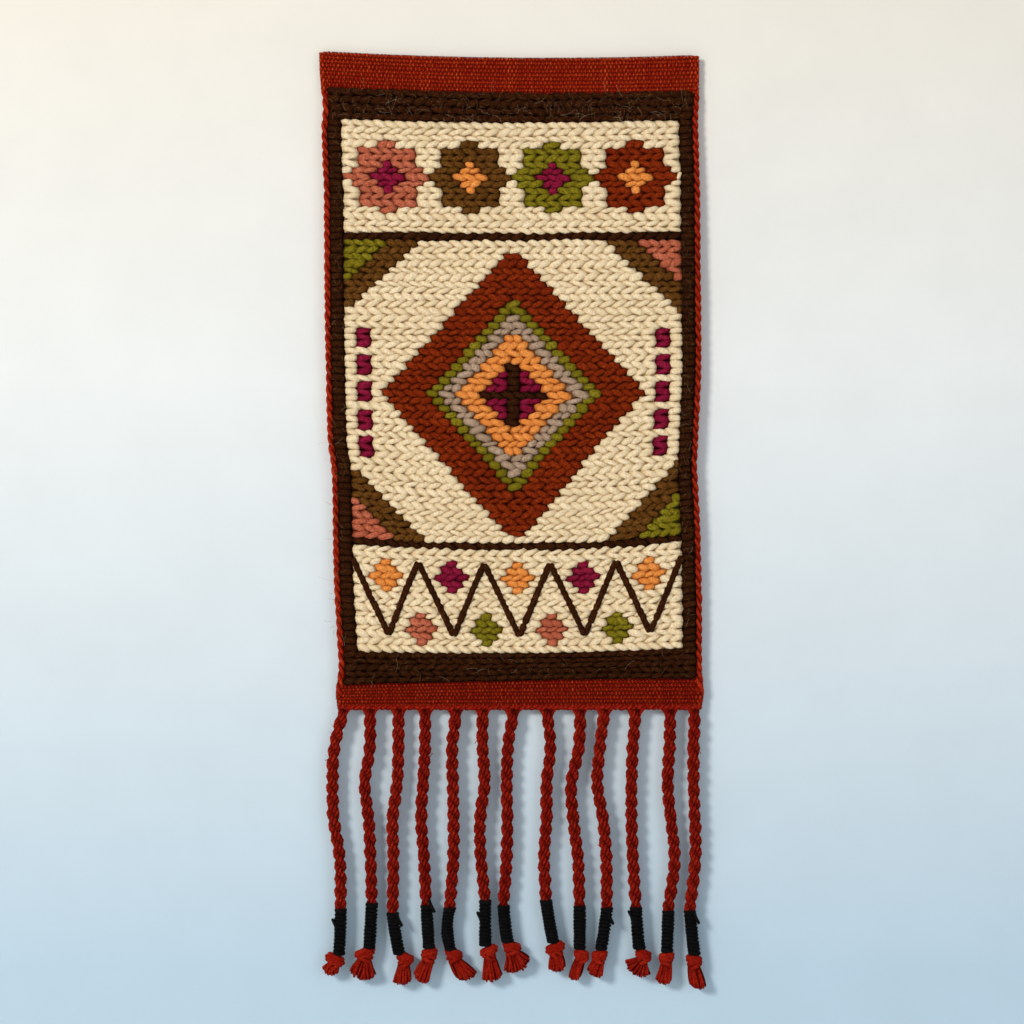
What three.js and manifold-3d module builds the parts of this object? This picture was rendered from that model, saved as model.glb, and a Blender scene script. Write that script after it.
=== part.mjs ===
// A small wool wall hanging: a rust plain-weave cloth whose middle is covered with rows of thick
// worked yarn, a cream field inside a dark frame, with thirteen twisted fringe cords below. Each
// cord ends in a dark whipping, a knot and a tuft.
//
// Millimetres, +Z up, +X to the right as seen from the front, and the front faces -Y. The origin
// is the middle of the top edge, on the back of the cloth. "down" is a distance measured down the
// cloth from there, and "across" runs from 0 at the left edge to 1 at the right one.

import * as THREE from 'three';
import { mergeVertices } from 'three/addons/utils/BufferGeometryUtils.js';
import Module from 'manifold-3d';

const wasm = await Module();
wasm.setup();

// Driving sizes
const GAP = 0.3;
const CLOTH_THICK = 2.0;
const CLOTH_END = 508.0;
const EDGING_WIDE = 4.4;
const EDGING_DEEP = 3.3;
const EDGING_FROM = 30.0;
const EDGING_TO = 502.0;
const EDGING_LOBE = 8.0;
const NOTCH_ROOM = 0.5;
const NOTCH_RUN = 0.2;
const CLOTH_COLUMNS = 4;

const ROW_PITCH = 5.28;
const YARN_BACK = CLOTH_THICK + GAP;
const YARN_GROOVE = 4.9;
const YARN_CREST = 7.3;
const CREST_UNEVEN = 0.35;
const FRAME_INSET = EDGING_WIDE + 0.7;
const FRAME_WIDE = 10.0;
const FRAME_TOP = 24.5;
const FIELD_TOP = 48.5;
const FIELD_FOOT = 466.0;
const FRAME_FOOT = 491.5;
const TOP_ROWS = 4;
const FIELD_ROWS = Math.round((FIELD_FOOT - FIELD_TOP) / ROW_PITCH);
const FOOT_ROWS = 5;

const STRIP_TOP = CLOTH_END + GAP;
const STRIP_ARCH = 513.5;
const STRIP_TOE = 521.0;
const STRIP_THICK = 2.6;
const CORD_WIDE = 9.8;
const CORD_DEEP = 7.4;
const CORD_TURN = 20.8;
const CORD_STEPS = 4.4;
const CORD_LEVELS = { atA: 544.5, atB: 573, atC: 601, atD: 629.5 };
const CORD_Y = -5.3;
const WRAP_RADIUS = 4.85;
const WRAP_SIDES = 8;
const KNOB_RADIUS = 2.2;
const KNOT_DEEP = 4.6;
const TUFT_STRANDS = 5;
const STRAND_WIDE = 3.0;
const STRAND_Y_SPREAD = 2.4;

// How far the cloth stands off the wall: flat at the heading, bowed a little lower down
const BOW = [
  { down: -10, off: 0 },
  { down: 30, off: 0 },
  { down: 90, off: 1.2 },
  { down: 180, off: 2.8 },
  { down: 300, off: 3.4 },
  { down: 420, off: 2.6 },
  { down: 513, off: 1.6 },
  { down: 760, off: 1.6 },
];

// The side outlines, as measured down the cloth
const LEFT_EDGE = [
  { down: 0, x: -151 },
  { down: 26, x: -149.5 },
  { down: 37, x: -147.5 },
  { down: 59, x: -149 },
  { down: 103, x: -147 },
  { down: 214, x: -146 },
  { down: 302, x: -144 },
  { down: 324, x: -140.5 },
  { down: 413, x: -139 },
  { down: 479, x: -135 },
  { down: 490, x: -136.5 },
  { down: 501, x: -138 },
  { down: 513, x: -136 },
];
const RIGHT_EDGE = [
  { down: 0, x: 149.5 },
  { down: 26, x: 149.5 },
  { down: 48, x: 148.5 },
  { down: 103, x: 150 },
  { down: 247, x: 151 },
  { down: 302, x: 148.5 },
  { down: 324, x: 147.5 },
  { down: 369, x: 150 },
  { down: 435, x: 151.5 },
  { down: 490, x: 151.5 },
  { down: 503, x: 153.5 },
  { down: 513, x: 151 },
];

// How the rows of the weave sag: heights at the two sides and in the middle, above -down
const ROW_SAG = [
  { down: 0, left: 4.7, middle: -0.6, right: 1.6 },
  { down: 24.5, left: 1.9, middle: -3.1, right: -1.5 },
  { down: 48.5, left: 0.5, middle: -2.9, right: -0.1 },
  { down: 143, left: 0, middle: -0.8, right: 0 },
  { down: 217, left: 0, middle: -2.0, right: 0 },
  { down: 283, left: 0, middle: -4.7, right: 0.8 },
  { down: 343, left: -0.6, middle: -9.0, right: 2.0 },
  { down: 409, left: 0, middle: -5.5, right: 1.2 },
  { down: 466, left: -1.7, middle: -4.0, right: 0.7 },
  { down: 491.5, left: -3.8, middle: 0.9, right: 2.5 },
  { down: 508, left: 0, middle: 0, right: 0 },
  { down: 760, left: 0, middle: 0, right: 0 },
];

// The fringe cords: x at the root, and at the four levels of CORD_LEVELS
const CORDS = [
  { root: -131, atA: -138.5, atB: -140, atC: -139, atD: -134.5 },
  { root: -110.5, atA: -110.5, atB: -114.5, atC: -111.5, atD: -110 },
  { root: -88, atA: -88, atB: -89.5, atC: -92.5, atD: -92 },
  { root: -67, atA: -67, atB: -68.5, atC: -70, atD: -68 },
  { root: -42, atA: -45.5, atB: -45, atC: -44.5, atD: -44.5 },
  { root: -21.5, atA: -21.5, atB: -20, atC: -23.5, atD: -23 },
  { root: 3, atA: -1.5, atB: -2.5, atC: -2, atD: -2.5 },
  { root: 29, atA: 32, atB: 29, atC: 29, atD: 27 },
  { root: 55.5, atA: 54.5, atB: 48.5, atC: 50, atD: 53.5 },
  { root: 75, atA: 71, atB: 69, atC: 73.5, atD: 76 },
  { root: 99.5, atA: 97, atB: 96, atC: 96, atD: 97 },
  { root: 126.5, atA: 126, atB: 124.5, atC: 127, atD: 130 },
  { root: 146, atA: 145, atB: 145, atC: 146, atD: 146.5 },
];

// The whippings: x at top, middle and foot, their span, and the side and level of a thread end
const WRAPS = [
  { top: -133.5, middle: -134, foot: -135, from: 671.5, to: 708.5, knob: -1, knobAt: 681 },
  { top: -109, middle: -110, foot: -111, from: 667, to: 703.5, knob: 0, knobAt: 0 },
  { top: -92.5, middle: -90.5, foot: -87.5, from: 674.5, to: 708, knob: 1, knobAt: 684 },
  { top: -66, middle: -65, foot: -64, from: 668.5, to: 703, knob: 1, knobAt: 673 },
  { top: -47.5, middle: -49.5, foot: -47, from: 670.5, to: 705, knob: 0, knobAt: 0 },
  { top: -19.5, middle: -19.5, foot: -19.5, from: 664.5, to: 701.5, knob: -1, knobAt: 675.5 },
  { top: -5, middle: -4, foot: -2, from: 668.5, to: 698.5, knob: 0, knobAt: 0 },
  { top: 28.5, middle: 31, foot: 34, from: 664.5, to: 699, knob: 0, knobAt: 0 },
  { top: 55, middle: 55, foot: 55, from: 669, to: 703.5, knob: 0, knobAt: 0 },
  { top: 76.5, middle: 74.5, foot: 72, from: 670.5, to: 704, knob: 1, knobAt: 682.5 },
  { top: 99.5, middle: 100.5, foot: 102, from: 670, to: 704, knob: -1, knobAt: 674.5 },
  { top: 125, middle: 124.5, foot: 124, from: 672.5, to: 706, knob: 0, knobAt: 0 },
  { top: 142, middle: 143.5, foot: 145.5, from: 672.5, to: 708.5, knob: 1, knobAt: 682 },
];

// The knots with their half sizes, and the fan of tuft ends from its left tip to its right one
const TUFTS = [
  { knot: -139, at: 713.5, wide: 8.7, high: 6.3, left: -147.5, leftAt: 718, right: -136.5, rightAt: 723 },
  { knot: -114, at: 708, wide: 9.1, high: 5.5, left: -126.5, leftAt: 720.5, right: -106, rightAt: 724.5 },
  { knot: -83.5, at: 712, wide: 7.9, high: 5.9, left: -91.5, leftAt: 729, right: -78, rightAt: 727.5 },
  { knot: -63, at: 708.5, wide: 7.1, high: 6.3, left: -75, leftAt: 723, right: -65, rightAt: 730 },
  { knot: -45, at: 708.5, wide: 7.9, high: 5.5, left: -41, leftAt: 727, right: -27, rightAt: 722 },
  { knot: -16, at: 706.5, wide: 7.9, high: 5.5, left: -21.5, leftAt: 727, right: -6.5, rightAt: 723.5 },
  { knot: 1, at: 703, wide: 7.9, high: 5.5, left: -4, leftAt: 720.5, right: 16, rightAt: 711 },
  { knot: 36.5, at: 704.5, wide: 8.7, high: 6.3, left: 31.5, leftAt: 719, right: 43.5, rightAt: 718 },
  { knot: 55.5, at: 709.5, wide: 6.7, high: 6.3, left: 47, leftAt: 725, right: 54.5, rightAt: 726 },
  { knot: 71, at: 709.5, wide: 7.1, high: 5.5, left: 61.5, leftAt: 719.5, right: 72.5, rightAt: 725 },
  { knot: 104.5, at: 709.5, wide: 7.1, high: 6.3, left: 91.5, leftAt: 712.5, right: 110, rightAt: 723.5 },
  { knot: 124, at: 711, wide: 6.7, high: 5.5, left: 115.5, leftAt: 727.5, right: 127, rightAt: 729 },
  { knot: 144.5, at: 713.5, wide: 7.1, high: 6.3, left: 142, leftAt: 731, right: 154, rightAt: 732.5 },
];
const TUFT_FALL = 2.4;

// Reads one column of a table at a distance down, in straight runs between its rows
function readTable(table, down, column) {
  const last = table.length - 1;
  if (down <= table[0].down) return table[0][column];
  if (down >= table[last].down) return table[last][column];
  const next = table.findIndex((row) => row.down > down);
  const a = table[next - 1];
  const b = table[next];
  return THREE.MathUtils.mapLinear(down, a.down, b.down, a[column], b[column]);
}

const leftEdge = (down) => readTable(LEFT_EDGE, down, 'x');
const rightEdge = (down) => readTable(RIGHT_EDGE, down, 'x');
const bow = (down) => readTable(BOW, down, 'off');

// The height of a row of the weave, a parabola through its two ends and its middle
function rowHeight(down, across) {
  const left = readTable(ROW_SAG, down, 'left') * (1 - across) * (1 - 2 * across);
  const middle = readTable(ROW_SAG, down, 'middle') * 4 * across * (1 - across);
  const right = readTable(ROW_SAG, down, 'right') * across * (2 * across - 1);
  return -down + left + middle + right;
}

// Puts a point of the flat cloth where it hangs: x as given, "out" in front of the cloth's back
function hang(x, down, out) {
  const left = leftEdge(down);
  const across = (x - left) / (rightEdge(down) - left);
  return new THREE.Vector3(x, -bow(down) - out, rowHeight(down, across));
}

// Moves every vertex of a geometry by a function of its place, and drops normals and uvs
function reshape(geometry, place) {
  const position = geometry.getAttribute('position');
  for (let i = 0; i < position.count; i += 1) {
    const p = place(new THREE.Vector3().fromBufferAttribute(position, i));
    position.setXYZ(i, p.x, p.y, p.z);
  }
  geometry.deleteAttribute('normal');
  geometry.deleteAttribute('uv');
  return mergeVertices(geometry, 1e-4);
}

// A fixed unevenness between -1 and 1 for a counted thing
function uneven(count) {
  const wave = Math.sin(count * 12.9898 + 4.1) * 43758.5453;
  return 2 * (wave - Math.floor(wave)) - 1;
}

function toSolid(geometry) {
  const vertProperties = new Float32Array(geometry.getAttribute('position').array);
  const triVerts = new Uint32Array(geometry.getIndex().array);
  return new wasm.Manifold(new wasm.Mesh({ numProp: 3, vertProperties, triVerts }));
}

// Joins overlapping closed geometries into one
function fuse(geometries) {
  const [first, ...others] = geometries.map(toSolid);
  const whole = others.reduce((sum, next) => sum.add(next), first);
  const mesh = whole.getMesh();
  const joined = new THREE.BufferGeometry();
  joined.setAttribute('position', new THREE.BufferAttribute(mesh.vertProperties, 3));
  joined.setIndex(new THREE.BufferAttribute(mesh.triVerts, 1));
  return joined;
}

// A rod along a curve, of a four-sided flattened section that turns as a two-ply twist does
function twistedRod(curve, { wide, deep, turn, steps }) {
  const length = curve.getLength();
  const rod = new THREE.CylinderGeometry(1, 1, 1, 4, steps);
  return reshape(rod, (p) => {
    const along = 0.5 - p.y;
    const centre = curve.getPointAt(THREE.MathUtils.clamp(along, 0, 1));
    const angle = (2 * Math.PI * along * length) / turn;
    const u = (p.x * wide) / 2;
    const v = (-p.z * deep) / 2;
    centre.x += u * Math.cos(angle) - v * Math.sin(angle);
    centre.y += u * Math.sin(angle) + v * Math.cos(angle);
    return centre;
  });
}

// The rust ground: full width at the heading and the foot, and notched for the edging between
function groundCloth() {
  const notchTop = EDGING_FROM - NOTCH_ROOM;
  const notchFoot = EDGING_TO + NOTCH_ROOM;
  const bends = [...LEFT_EDGE, ...RIGHT_EDGE, ...BOW].map((row) => row.down);
  const between = bends.filter((down) => down > notchTop + NOTCH_RUN && down < notchFoot - NOTCH_RUN);
  const notches = [notchTop, notchTop + NOTCH_RUN, notchFoot - NOTCH_RUN, notchFoot];
  const levels = [...new Set([0, notchTop / 2, ...notches, ...between, CLOTH_END])];
  levels.sort((a, b) => a - b);
  const rows = levels.length - 1;
  return reshape(new THREE.BoxGeometry(1, 1, 1, CLOTH_COLUMNS, 1, rows), (p) => {
    const down = levels[Math.round((0.5 - p.z) * rows)];
    const inset = down > notchTop && down < notchFoot ? EDGING_WIDE + GAP : 0;
    const x = THREE.MathUtils.lerp(leftEdge(down) + inset, rightEdge(down) - inset, p.x + 0.5);
    return hang(x, down, (0.5 - p.y) * CLOTH_THICK);
  });
}

// The two-ply twisted edging along one side, between the heading and the foot of the cloth
function edging(edge, inward) {
  const points = [];
  const spans = 40;
  for (let i = 0; i <= spans; i += 1) {
    const down = THREE.MathUtils.lerp(EDGING_FROM, EDGING_TO, i / spans);
    const x = edge(down) + (inward * EDGING_WIDE) / 2;
    points.push(hang(x, down, EDGING_WIDE / 2));
  }
  const steps = Math.round((2 * (EDGING_TO - EDGING_FROM)) / EDGING_LOBE);
  const shape = { wide: EDGING_WIDE, deep: EDGING_DEEP, turn: 2 * EDGING_LOBE, steps };
  return twistedRod(new THREE.CatmullRomCurve3(points), shape);
}

// A band of worked yarn rows: a box as many steps high as its rows need, whose front rises and
// falls once for each row. "places" gives the x of each of its upright lines, from left to right,
// and the outer two stand in by a shoulder at the front.
function ribbedBand({ from, to, rows, places, perRow, shoulder }) {
  const columns = places(from).length - 1;
  const steps = rows * perRow;
  return reshape(new THREE.BoxGeometry(1, 1, 1, columns, 1, steps), (p) => {
    const column = Math.round((p.x + 0.5) * columns);
    const step = Math.round((0.5 - p.z) * steps);
    const down = THREE.MathUtils.lerp(from, to, step / steps);
    const isFront = p.y < 0;
    const rim = isFront ? shoulder * ((column === 0) - (column === columns)) : 0;
    const crest = YARN_CREST + CREST_UNEVEN * uneven(Math.floor(step / perRow) + from);
    const front = step % perRow === 0 ? YARN_GROOVE : crest;
    return hang(places(down)[column] + rim, down, isFront ? front : YARN_BACK);
  });
}

const outerLeft = (down) => leftEdge(down) + FRAME_INSET;
const outerRight = (down) => rightEdge(down) - FRAME_INSET;
const leftBar = (down) => [outerLeft(down), outerLeft(down) + FRAME_WIDE];
const rightBar = (down) => [outerRight(down) - FRAME_WIDE, outerRight(down)];

// The upright lines of the field, which the frame's top and foot share
function fieldLines(down) {
  const left = leftBar(down)[1] + GAP;
  const right = rightBar(down)[0] - GAP;
  return [0, 1 / 3, 2 / 3, 1].map((part) => THREE.MathUtils.lerp(left, right, part));
}
const frameLines = (down) => [outerLeft(down), ...fieldLines(down), outerRight(down)];

const frameTop = { from: FRAME_TOP, to: FIELD_TOP - GAP / 2, rows: TOP_ROWS, places: frameLines };
const frameFoot = { from: FIELD_FOOT + GAP / 2, to: FRAME_FOOT, rows: FOOT_ROWS, places: frameLines };
const middle = { from: FIELD_TOP + GAP / 2, to: FIELD_FOOT - GAP / 2, rows: FIELD_ROWS };

// The narrow twined strip under the cloth, scalloped where the warps gather into each cord
function fringeStrip() {
  const outline = new THREE.Shape();
  const half = CORD_WIDE * 0.46;
  outline.moveTo(leftEdge(STRIP_TOP), -STRIP_TOP);
  outline.lineTo(CORDS[0].root - half, -STRIP_TOE);
  CORDS.forEach((cord, i) => {
    outline.lineTo(cord.root + half, -STRIP_TOE);
    if (i + 1 < CORDS.length) {
      const start = cord.root + half;
      const end = CORDS[i + 1].root - half;
      const reach = (end - start) * 0.2;
      outline.lineTo(start + reach * 0.5, -(STRIP_ARCH + 2.2));
      outline.lineTo(start + reach * 1.6, -STRIP_ARCH);
      outline.lineTo(end - reach * 1.6, -STRIP_ARCH);
      outline.lineTo(end - reach * 0.5, -(STRIP_ARCH + 2.2));
      outline.lineTo(end, -STRIP_TOE);
    }
  });
  outline.lineTo(rightEdge(STRIP_TOP), -STRIP_TOP);
  const strip = new THREE.ExtrudeGeometry(outline, { depth: 1, bevelEnabled: false });
  const back = bow(STRIP_TOP);
  return reshape(strip, (p) => new THREE.Vector3(p.x, -back - STRIP_THICK * p.z, p.y));
}

function cordCurve(cord, wrap) {
  const points = [new THREE.Vector3(cord.root, CORD_Y, -(STRIP_ARCH + 1))];
  Object.entries(CORD_LEVELS).forEach(([level, down]) => {
    points.push(new THREE.Vector3(cord[level], CORD_Y, -down));
  });
  points.push(new THREE.Vector3(wrap.top, CORD_Y, -(wrap.from - GAP)));
  return new THREE.CatmullRomCurve3(points);
}

// All thirteen cords, fused by their roots into the twined strip
function fringe() {
  const cords = CORDS.map((cord, i) => {
    const curve = cordCurve(cord, WRAPS[i]);
    const steps = Math.round((CORD_STEPS * curve.getLength()) / CORD_TURN);
    return twistedRod(curve, { wide: CORD_WIDE, deep: CORD_DEEP, turn: CORD_TURN, steps });
  });
  return fuse([fringeStrip(), ...cords]);
}

// One dark whipping, bent a little with its cord, with the knob of its thread end where it shows
function whipping(wrap, count) {
  const rings = 4;
  const body = reshape(
    new THREE.CylinderGeometry(1, 1, 1, WRAP_SIDES, rings),
    (p) => {
      const t = 0.5 - p.y;
      const x = wrap.top * (1 - t) * (1 - 2 * t) + wrap.middle * 4 * t * (1 - t)
        + wrap.foot * t * (2 * t - 1);
      const radius = WRAP_RADIUS * (1 + 0.03 * uneven(count + Math.round(t * rings)));
      const down = THREE.MathUtils.lerp(wrap.from, wrap.to, t);
      return new THREE.Vector3(x + p.x * radius, CORD_Y - p.z * radius, -down);
    },
  );
  if (wrap.knob === 0) return body;
  const knob = reshape(new THREE.SphereGeometry(KNOB_RADIUS, 5, 3), (p) => {
    const x = THREE.MathUtils.lerp(wrap.top, wrap.middle, 0.6) + wrap.knob * WRAP_RADIUS * 1.05;
    return new THREE.Vector3(x + p.x, CORD_Y - 1.5 - p.z, -wrap.knobAt + p.y);
  });
  return fuse([body, knob]);
}

// A loose strand of the tuft, thin at its root and a little spread at its cut end
function strand(start, end) {
  return reshape(new THREE.CylinderGeometry(1, 1, 1, 4, 1), (p) => {
    const t = 0.5 - p.y;
    const centre = new THREE.Vector3().lerpVectors(start, end, t);
    const half = (STRAND_WIDE / 2) * (0.9 + 0.25 * t);
    return new THREE.Vector3(centre.x + p.x * half, centre.y - p.z * half * 0.8, centre.z);
  });
}

// The lumpy knot snug under its whipping, with the fan of cut yarn ends below it
function knotAndTuft(tuft, wrap, count) {
  const seat = -(wrap.to + GAP);
  const knot = reshape(new THREE.SphereGeometry(1, 8, 5), (p) => {
    const girth = Math.hypot(p.x, p.z);
    const lump = 1 + 0.1 * girth * Math.sin(3 * Math.atan2(p.z, p.x) + 2.5 * p.y + count);
    const x = tuft.knot + p.x * tuft.wide * lump;
    const z = -tuft.at + p.y * tuft.high * lump - 0.12 * tuft.high * p.x;
    return new THREE.Vector3(x, CORD_Y - p.z * KNOT_DEEP * lump, Math.min(z, seat));
  });
  const strands = [];
  for (let i = 0; i < TUFT_STRANDS; i += 1) {
    const t = i / (TUFT_STRANDS - 1);
    const fall = TUFT_FALL * 4 * t * (1 - t) + uneven(count * 10 + i);
    const tip = new THREE.Vector3(
      THREE.MathUtils.lerp(tuft.left, tuft.right, t),
      CORD_Y + STRAND_Y_SPREAD * (i % 2 ? -0.8 : 0.6),
      -THREE.MathUtils.lerp(tuft.leftAt, tuft.rightAt, t) - fall,
    );
    const heart = new THREE.Vector3(tuft.knot, CORD_Y, -tuft.at);
    const root = heart.clone().lerp(tip, 0.12);
    strands.push(strand(root, tip));
  }
  return fuse([knot, ...strands]);
}

const wool = (colour) => new THREE.MeshStandardMaterial({ color: colour, roughness: 0.9, metalness: 0 });
const rust = wool(0x963010);
const darkBrown = wool(0x30200f);
const cream = wool(0xe6d9b8);
const charcoal = wool(0x2a2626);

const hanging = new THREE.Group();
function add(name, geometry, material) {
  const mesh = new THREE.Mesh(geometry, material);
  mesh.name = name;
  hanging.add(mesh);
}

add('ground_cloth', groundCloth(), rust);
add('edging_left', edging(leftEdge, 1), rust);
add('edging_right', edging(rightEdge, -1), rust);
add('frame_top', ribbedBand({ ...frameTop, perRow: 3, shoulder: 1 }), darkBrown);
add('frame_foot', ribbedBand({ ...frameFoot, perRow: 3, shoulder: 1 }), darkBrown);
add('frame_left', ribbedBand({ ...middle, places: leftBar, perRow: 2, shoulder: 1.4 }), darkBrown);
add('frame_right', ribbedBand({ ...middle, places: rightBar, perRow: 2, shoulder: 1.4 }), darkBrown);
add('yarn_field', ribbedBand({ ...middle, places: fieldLines, perRow: 2, shoulder: 0.8 }), cream);
add('fringe', fringe(), rust);
WRAPS.forEach((wrap, i) => {
  const number = String(i + 1).padStart(2, '0');
  add(`wrap_${number}`, whipping(wrap, i), charcoal);
  add(`tuft_${number}`, knotAndTuft(TUFTS[i], wrap, i), rust);
});

export default hanging;
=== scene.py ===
# %% [markdown]
# # A woven wool wall hanging
# The real piece is one small cloth of rust wool. Its heading and its foot are plain woven, its middle
# is covered with rows of thick worked yarn, and thirteen twisted cords hang from its foot, each with
# a dark whipping, a knot and a tuft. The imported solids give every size. This lesson dresses them
# thread by thread, so the weave, the stitches and the twist are real shapes and not only shading.

import math

import bpy
import numpy as np
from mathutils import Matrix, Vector


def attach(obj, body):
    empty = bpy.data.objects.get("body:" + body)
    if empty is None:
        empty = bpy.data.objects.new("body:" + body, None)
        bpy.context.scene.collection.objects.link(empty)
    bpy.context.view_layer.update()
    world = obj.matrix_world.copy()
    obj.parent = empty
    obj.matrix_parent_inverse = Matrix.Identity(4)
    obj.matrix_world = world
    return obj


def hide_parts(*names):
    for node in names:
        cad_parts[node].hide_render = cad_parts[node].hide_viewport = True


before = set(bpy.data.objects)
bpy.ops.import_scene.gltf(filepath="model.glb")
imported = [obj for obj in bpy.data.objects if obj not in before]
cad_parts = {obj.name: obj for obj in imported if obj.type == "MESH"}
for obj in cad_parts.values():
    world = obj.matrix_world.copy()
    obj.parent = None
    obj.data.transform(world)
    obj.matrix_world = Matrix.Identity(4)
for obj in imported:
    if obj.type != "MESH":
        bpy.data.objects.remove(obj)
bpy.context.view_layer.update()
bpy.ops.object.select_all(action="DESELECT")
print("solids loaded:", len(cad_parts))

# %% [markdown]
# ## Where the cloth hangs
# Everything below is laid out on the flat cloth, in millimetres: `x` from the middle of the top edge,
# `down` from it towards the fringe, and `out` in front of the cloth's back. One function then hangs a
# flat point where the solids have it, with the drawn-in sides, the sagging rows and the slight bow
# off the wall. The short tables are the ones that the solids are made from.

# %% Sizes of the cloth and the way it hangs
MM = 0.001
TWINE_DOWN = 513.0
ROW_PITCH = 5.28
FRAME_TOP, FIELD_TOP, FIELD_FOOT, FRAME_FOOT = 24.5, 48.5, 466.0, 491.5
TOP_ROWS, FIELD_ROWS, FOOT_ROWS = 4, 79, 5
EDGING_WIDE = 4.4
FRAME_INSET = EDGING_WIDE + 0.7
FRAME_WIDE = 10.0
PIECE_GAP = 0.3

BOW = {
    "down": [-10, 30, 90, 180, 300, 420, 513, 760],
    "off": [0, 0, 1.2, 2.8, 3.4, 2.6, 1.6, 1.6],
}
LEFT_EDGE = {
    "down": [0, 26, 37, 59, 103, 214, 302, 324, 413, 479, 490, 501, 513],
    "x": [-151, -149.5, -147.5, -149, -147, -146, -144, -140.5, -139, -135, -136.5, -138, -136],
}
RIGHT_EDGE = {
    "down": [0, 26, 48, 103, 247, 302, 324, 369, 435, 490, 503, 513],
    "x": [149.5, 149.5, 148.5, 150, 151, 148.5, 147.5, 150, 151.5, 151.5, 153.5, 151],
}
ROW_SAG = {
    "down": [0, 24.5, 48.5, 143, 217, 283, 343, 409, 466, 491.5, 508, 760],
    "left": [4.7, 1.9, 0.5, 0, 0, 0, -0.6, 0, -1.7, -3.8, 0, 0],
    "middle": [-0.6, -3.1, -2.9, -0.8, -2.0, -4.7, -9.0, -5.5, -4.0, 0.9, 0, 0],
    "right": [1.6, -1.5, -0.1, 0, 0, 0.8, 2.0, 1.2, 0.7, 2.5, 0, 0],
}
EASE = (-5.0, 0.0, 5.0)


def read(table, column, down):
    """One column of a table at a distance down, eased a little over its bends."""
    return sum(np.interp(down + step, table["down"], table[column]) for step in EASE) / len(EASE)


def left_edge(down):
    return read(LEFT_EDGE, "x", down)


def right_edge(down):
    return read(RIGHT_EDGE, "x", down)


def blend(a, b, part):
    return a + (b - a) * part


def hang(x, down, out):
    """Hangs flat points: x, down and out become one array of (x, y, z) in millimetres."""
    x, down, out = np.broadcast_arrays(np.asarray(x, float), down, out)
    left = left_edge(down)
    across = (x - left) / (right_edge(down) - left)
    height = -down + read(ROW_SAG, "left", down) * (1 - across) * (1 - 2 * across)
    height = height + read(ROW_SAG, "middle", down) * 4 * across * (1 - across)
    height = height + read(ROW_SAG, "right", down) * across * (2 * across - 1)
    return np.stack([x, -read(BOW, "off", down) - out, height], axis=-1)


print("top left corner of the cloth, mm:", np.round(hang(left_edge(0.0), 0.0, 0.0), 1))

# %% [markdown]
# ## Yarn as a mesh
# Nearly every part of a textile is a length of yarn, so one helper sweeps a round section along many
# paths at once. Each mesh also keeps three attributes. `strand` is a place inside the yarn, along it
# and round its section with the spin of the wool, so that fibres in the material follow the yarn. It
# starts at random along one long fleece, so no two lengths look alike. `shade` is one number for each
# thread, because wool takes the dye unevenly. `depth` is low in the pits between threads and high on
# their crests, and the material paints shade from it: a deeper colour in the pits, where fuzzy wool
# keeps the light out.

# %% Sweep yarn along paths
TWO_PI = 2 * math.pi
FLEECE_LONG = 900
END_BULGE = 0.5


def unit(vectors):
    return vectors / np.maximum(np.linalg.norm(vectors, axis=-1, keepdims=True), 1e-9)


def wander(rng, shape, knots, amount):
    """Smooth random drift: a few random values along the last axis, joined in soft curves."""
    *rows, length = shape
    count = int(np.prod(rows))
    coarse = rng.uniform(-amount, amount, (count, knots + 3))
    at = np.linspace(0, knots, length)
    cell = np.minimum(at.astype(int), knots - 1)
    part = at - cell
    a, b, c, d = (coarse[:, cell + i] for i in range(4))
    low, high = (a + 4 * b + c) / 6, (b + 4 * c + d) / 6
    return blend(low, high, part * part * (3 - 2 * part)).reshape(shape)


def per_point(values, sides):
    """One value for each ring (tube, ring), repeated for the points that yarn makes from it."""
    return np.concatenate([np.repeat(values, sides, axis=1), values[:, [0, -1]]], axis=1).reshape(-1)


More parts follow.
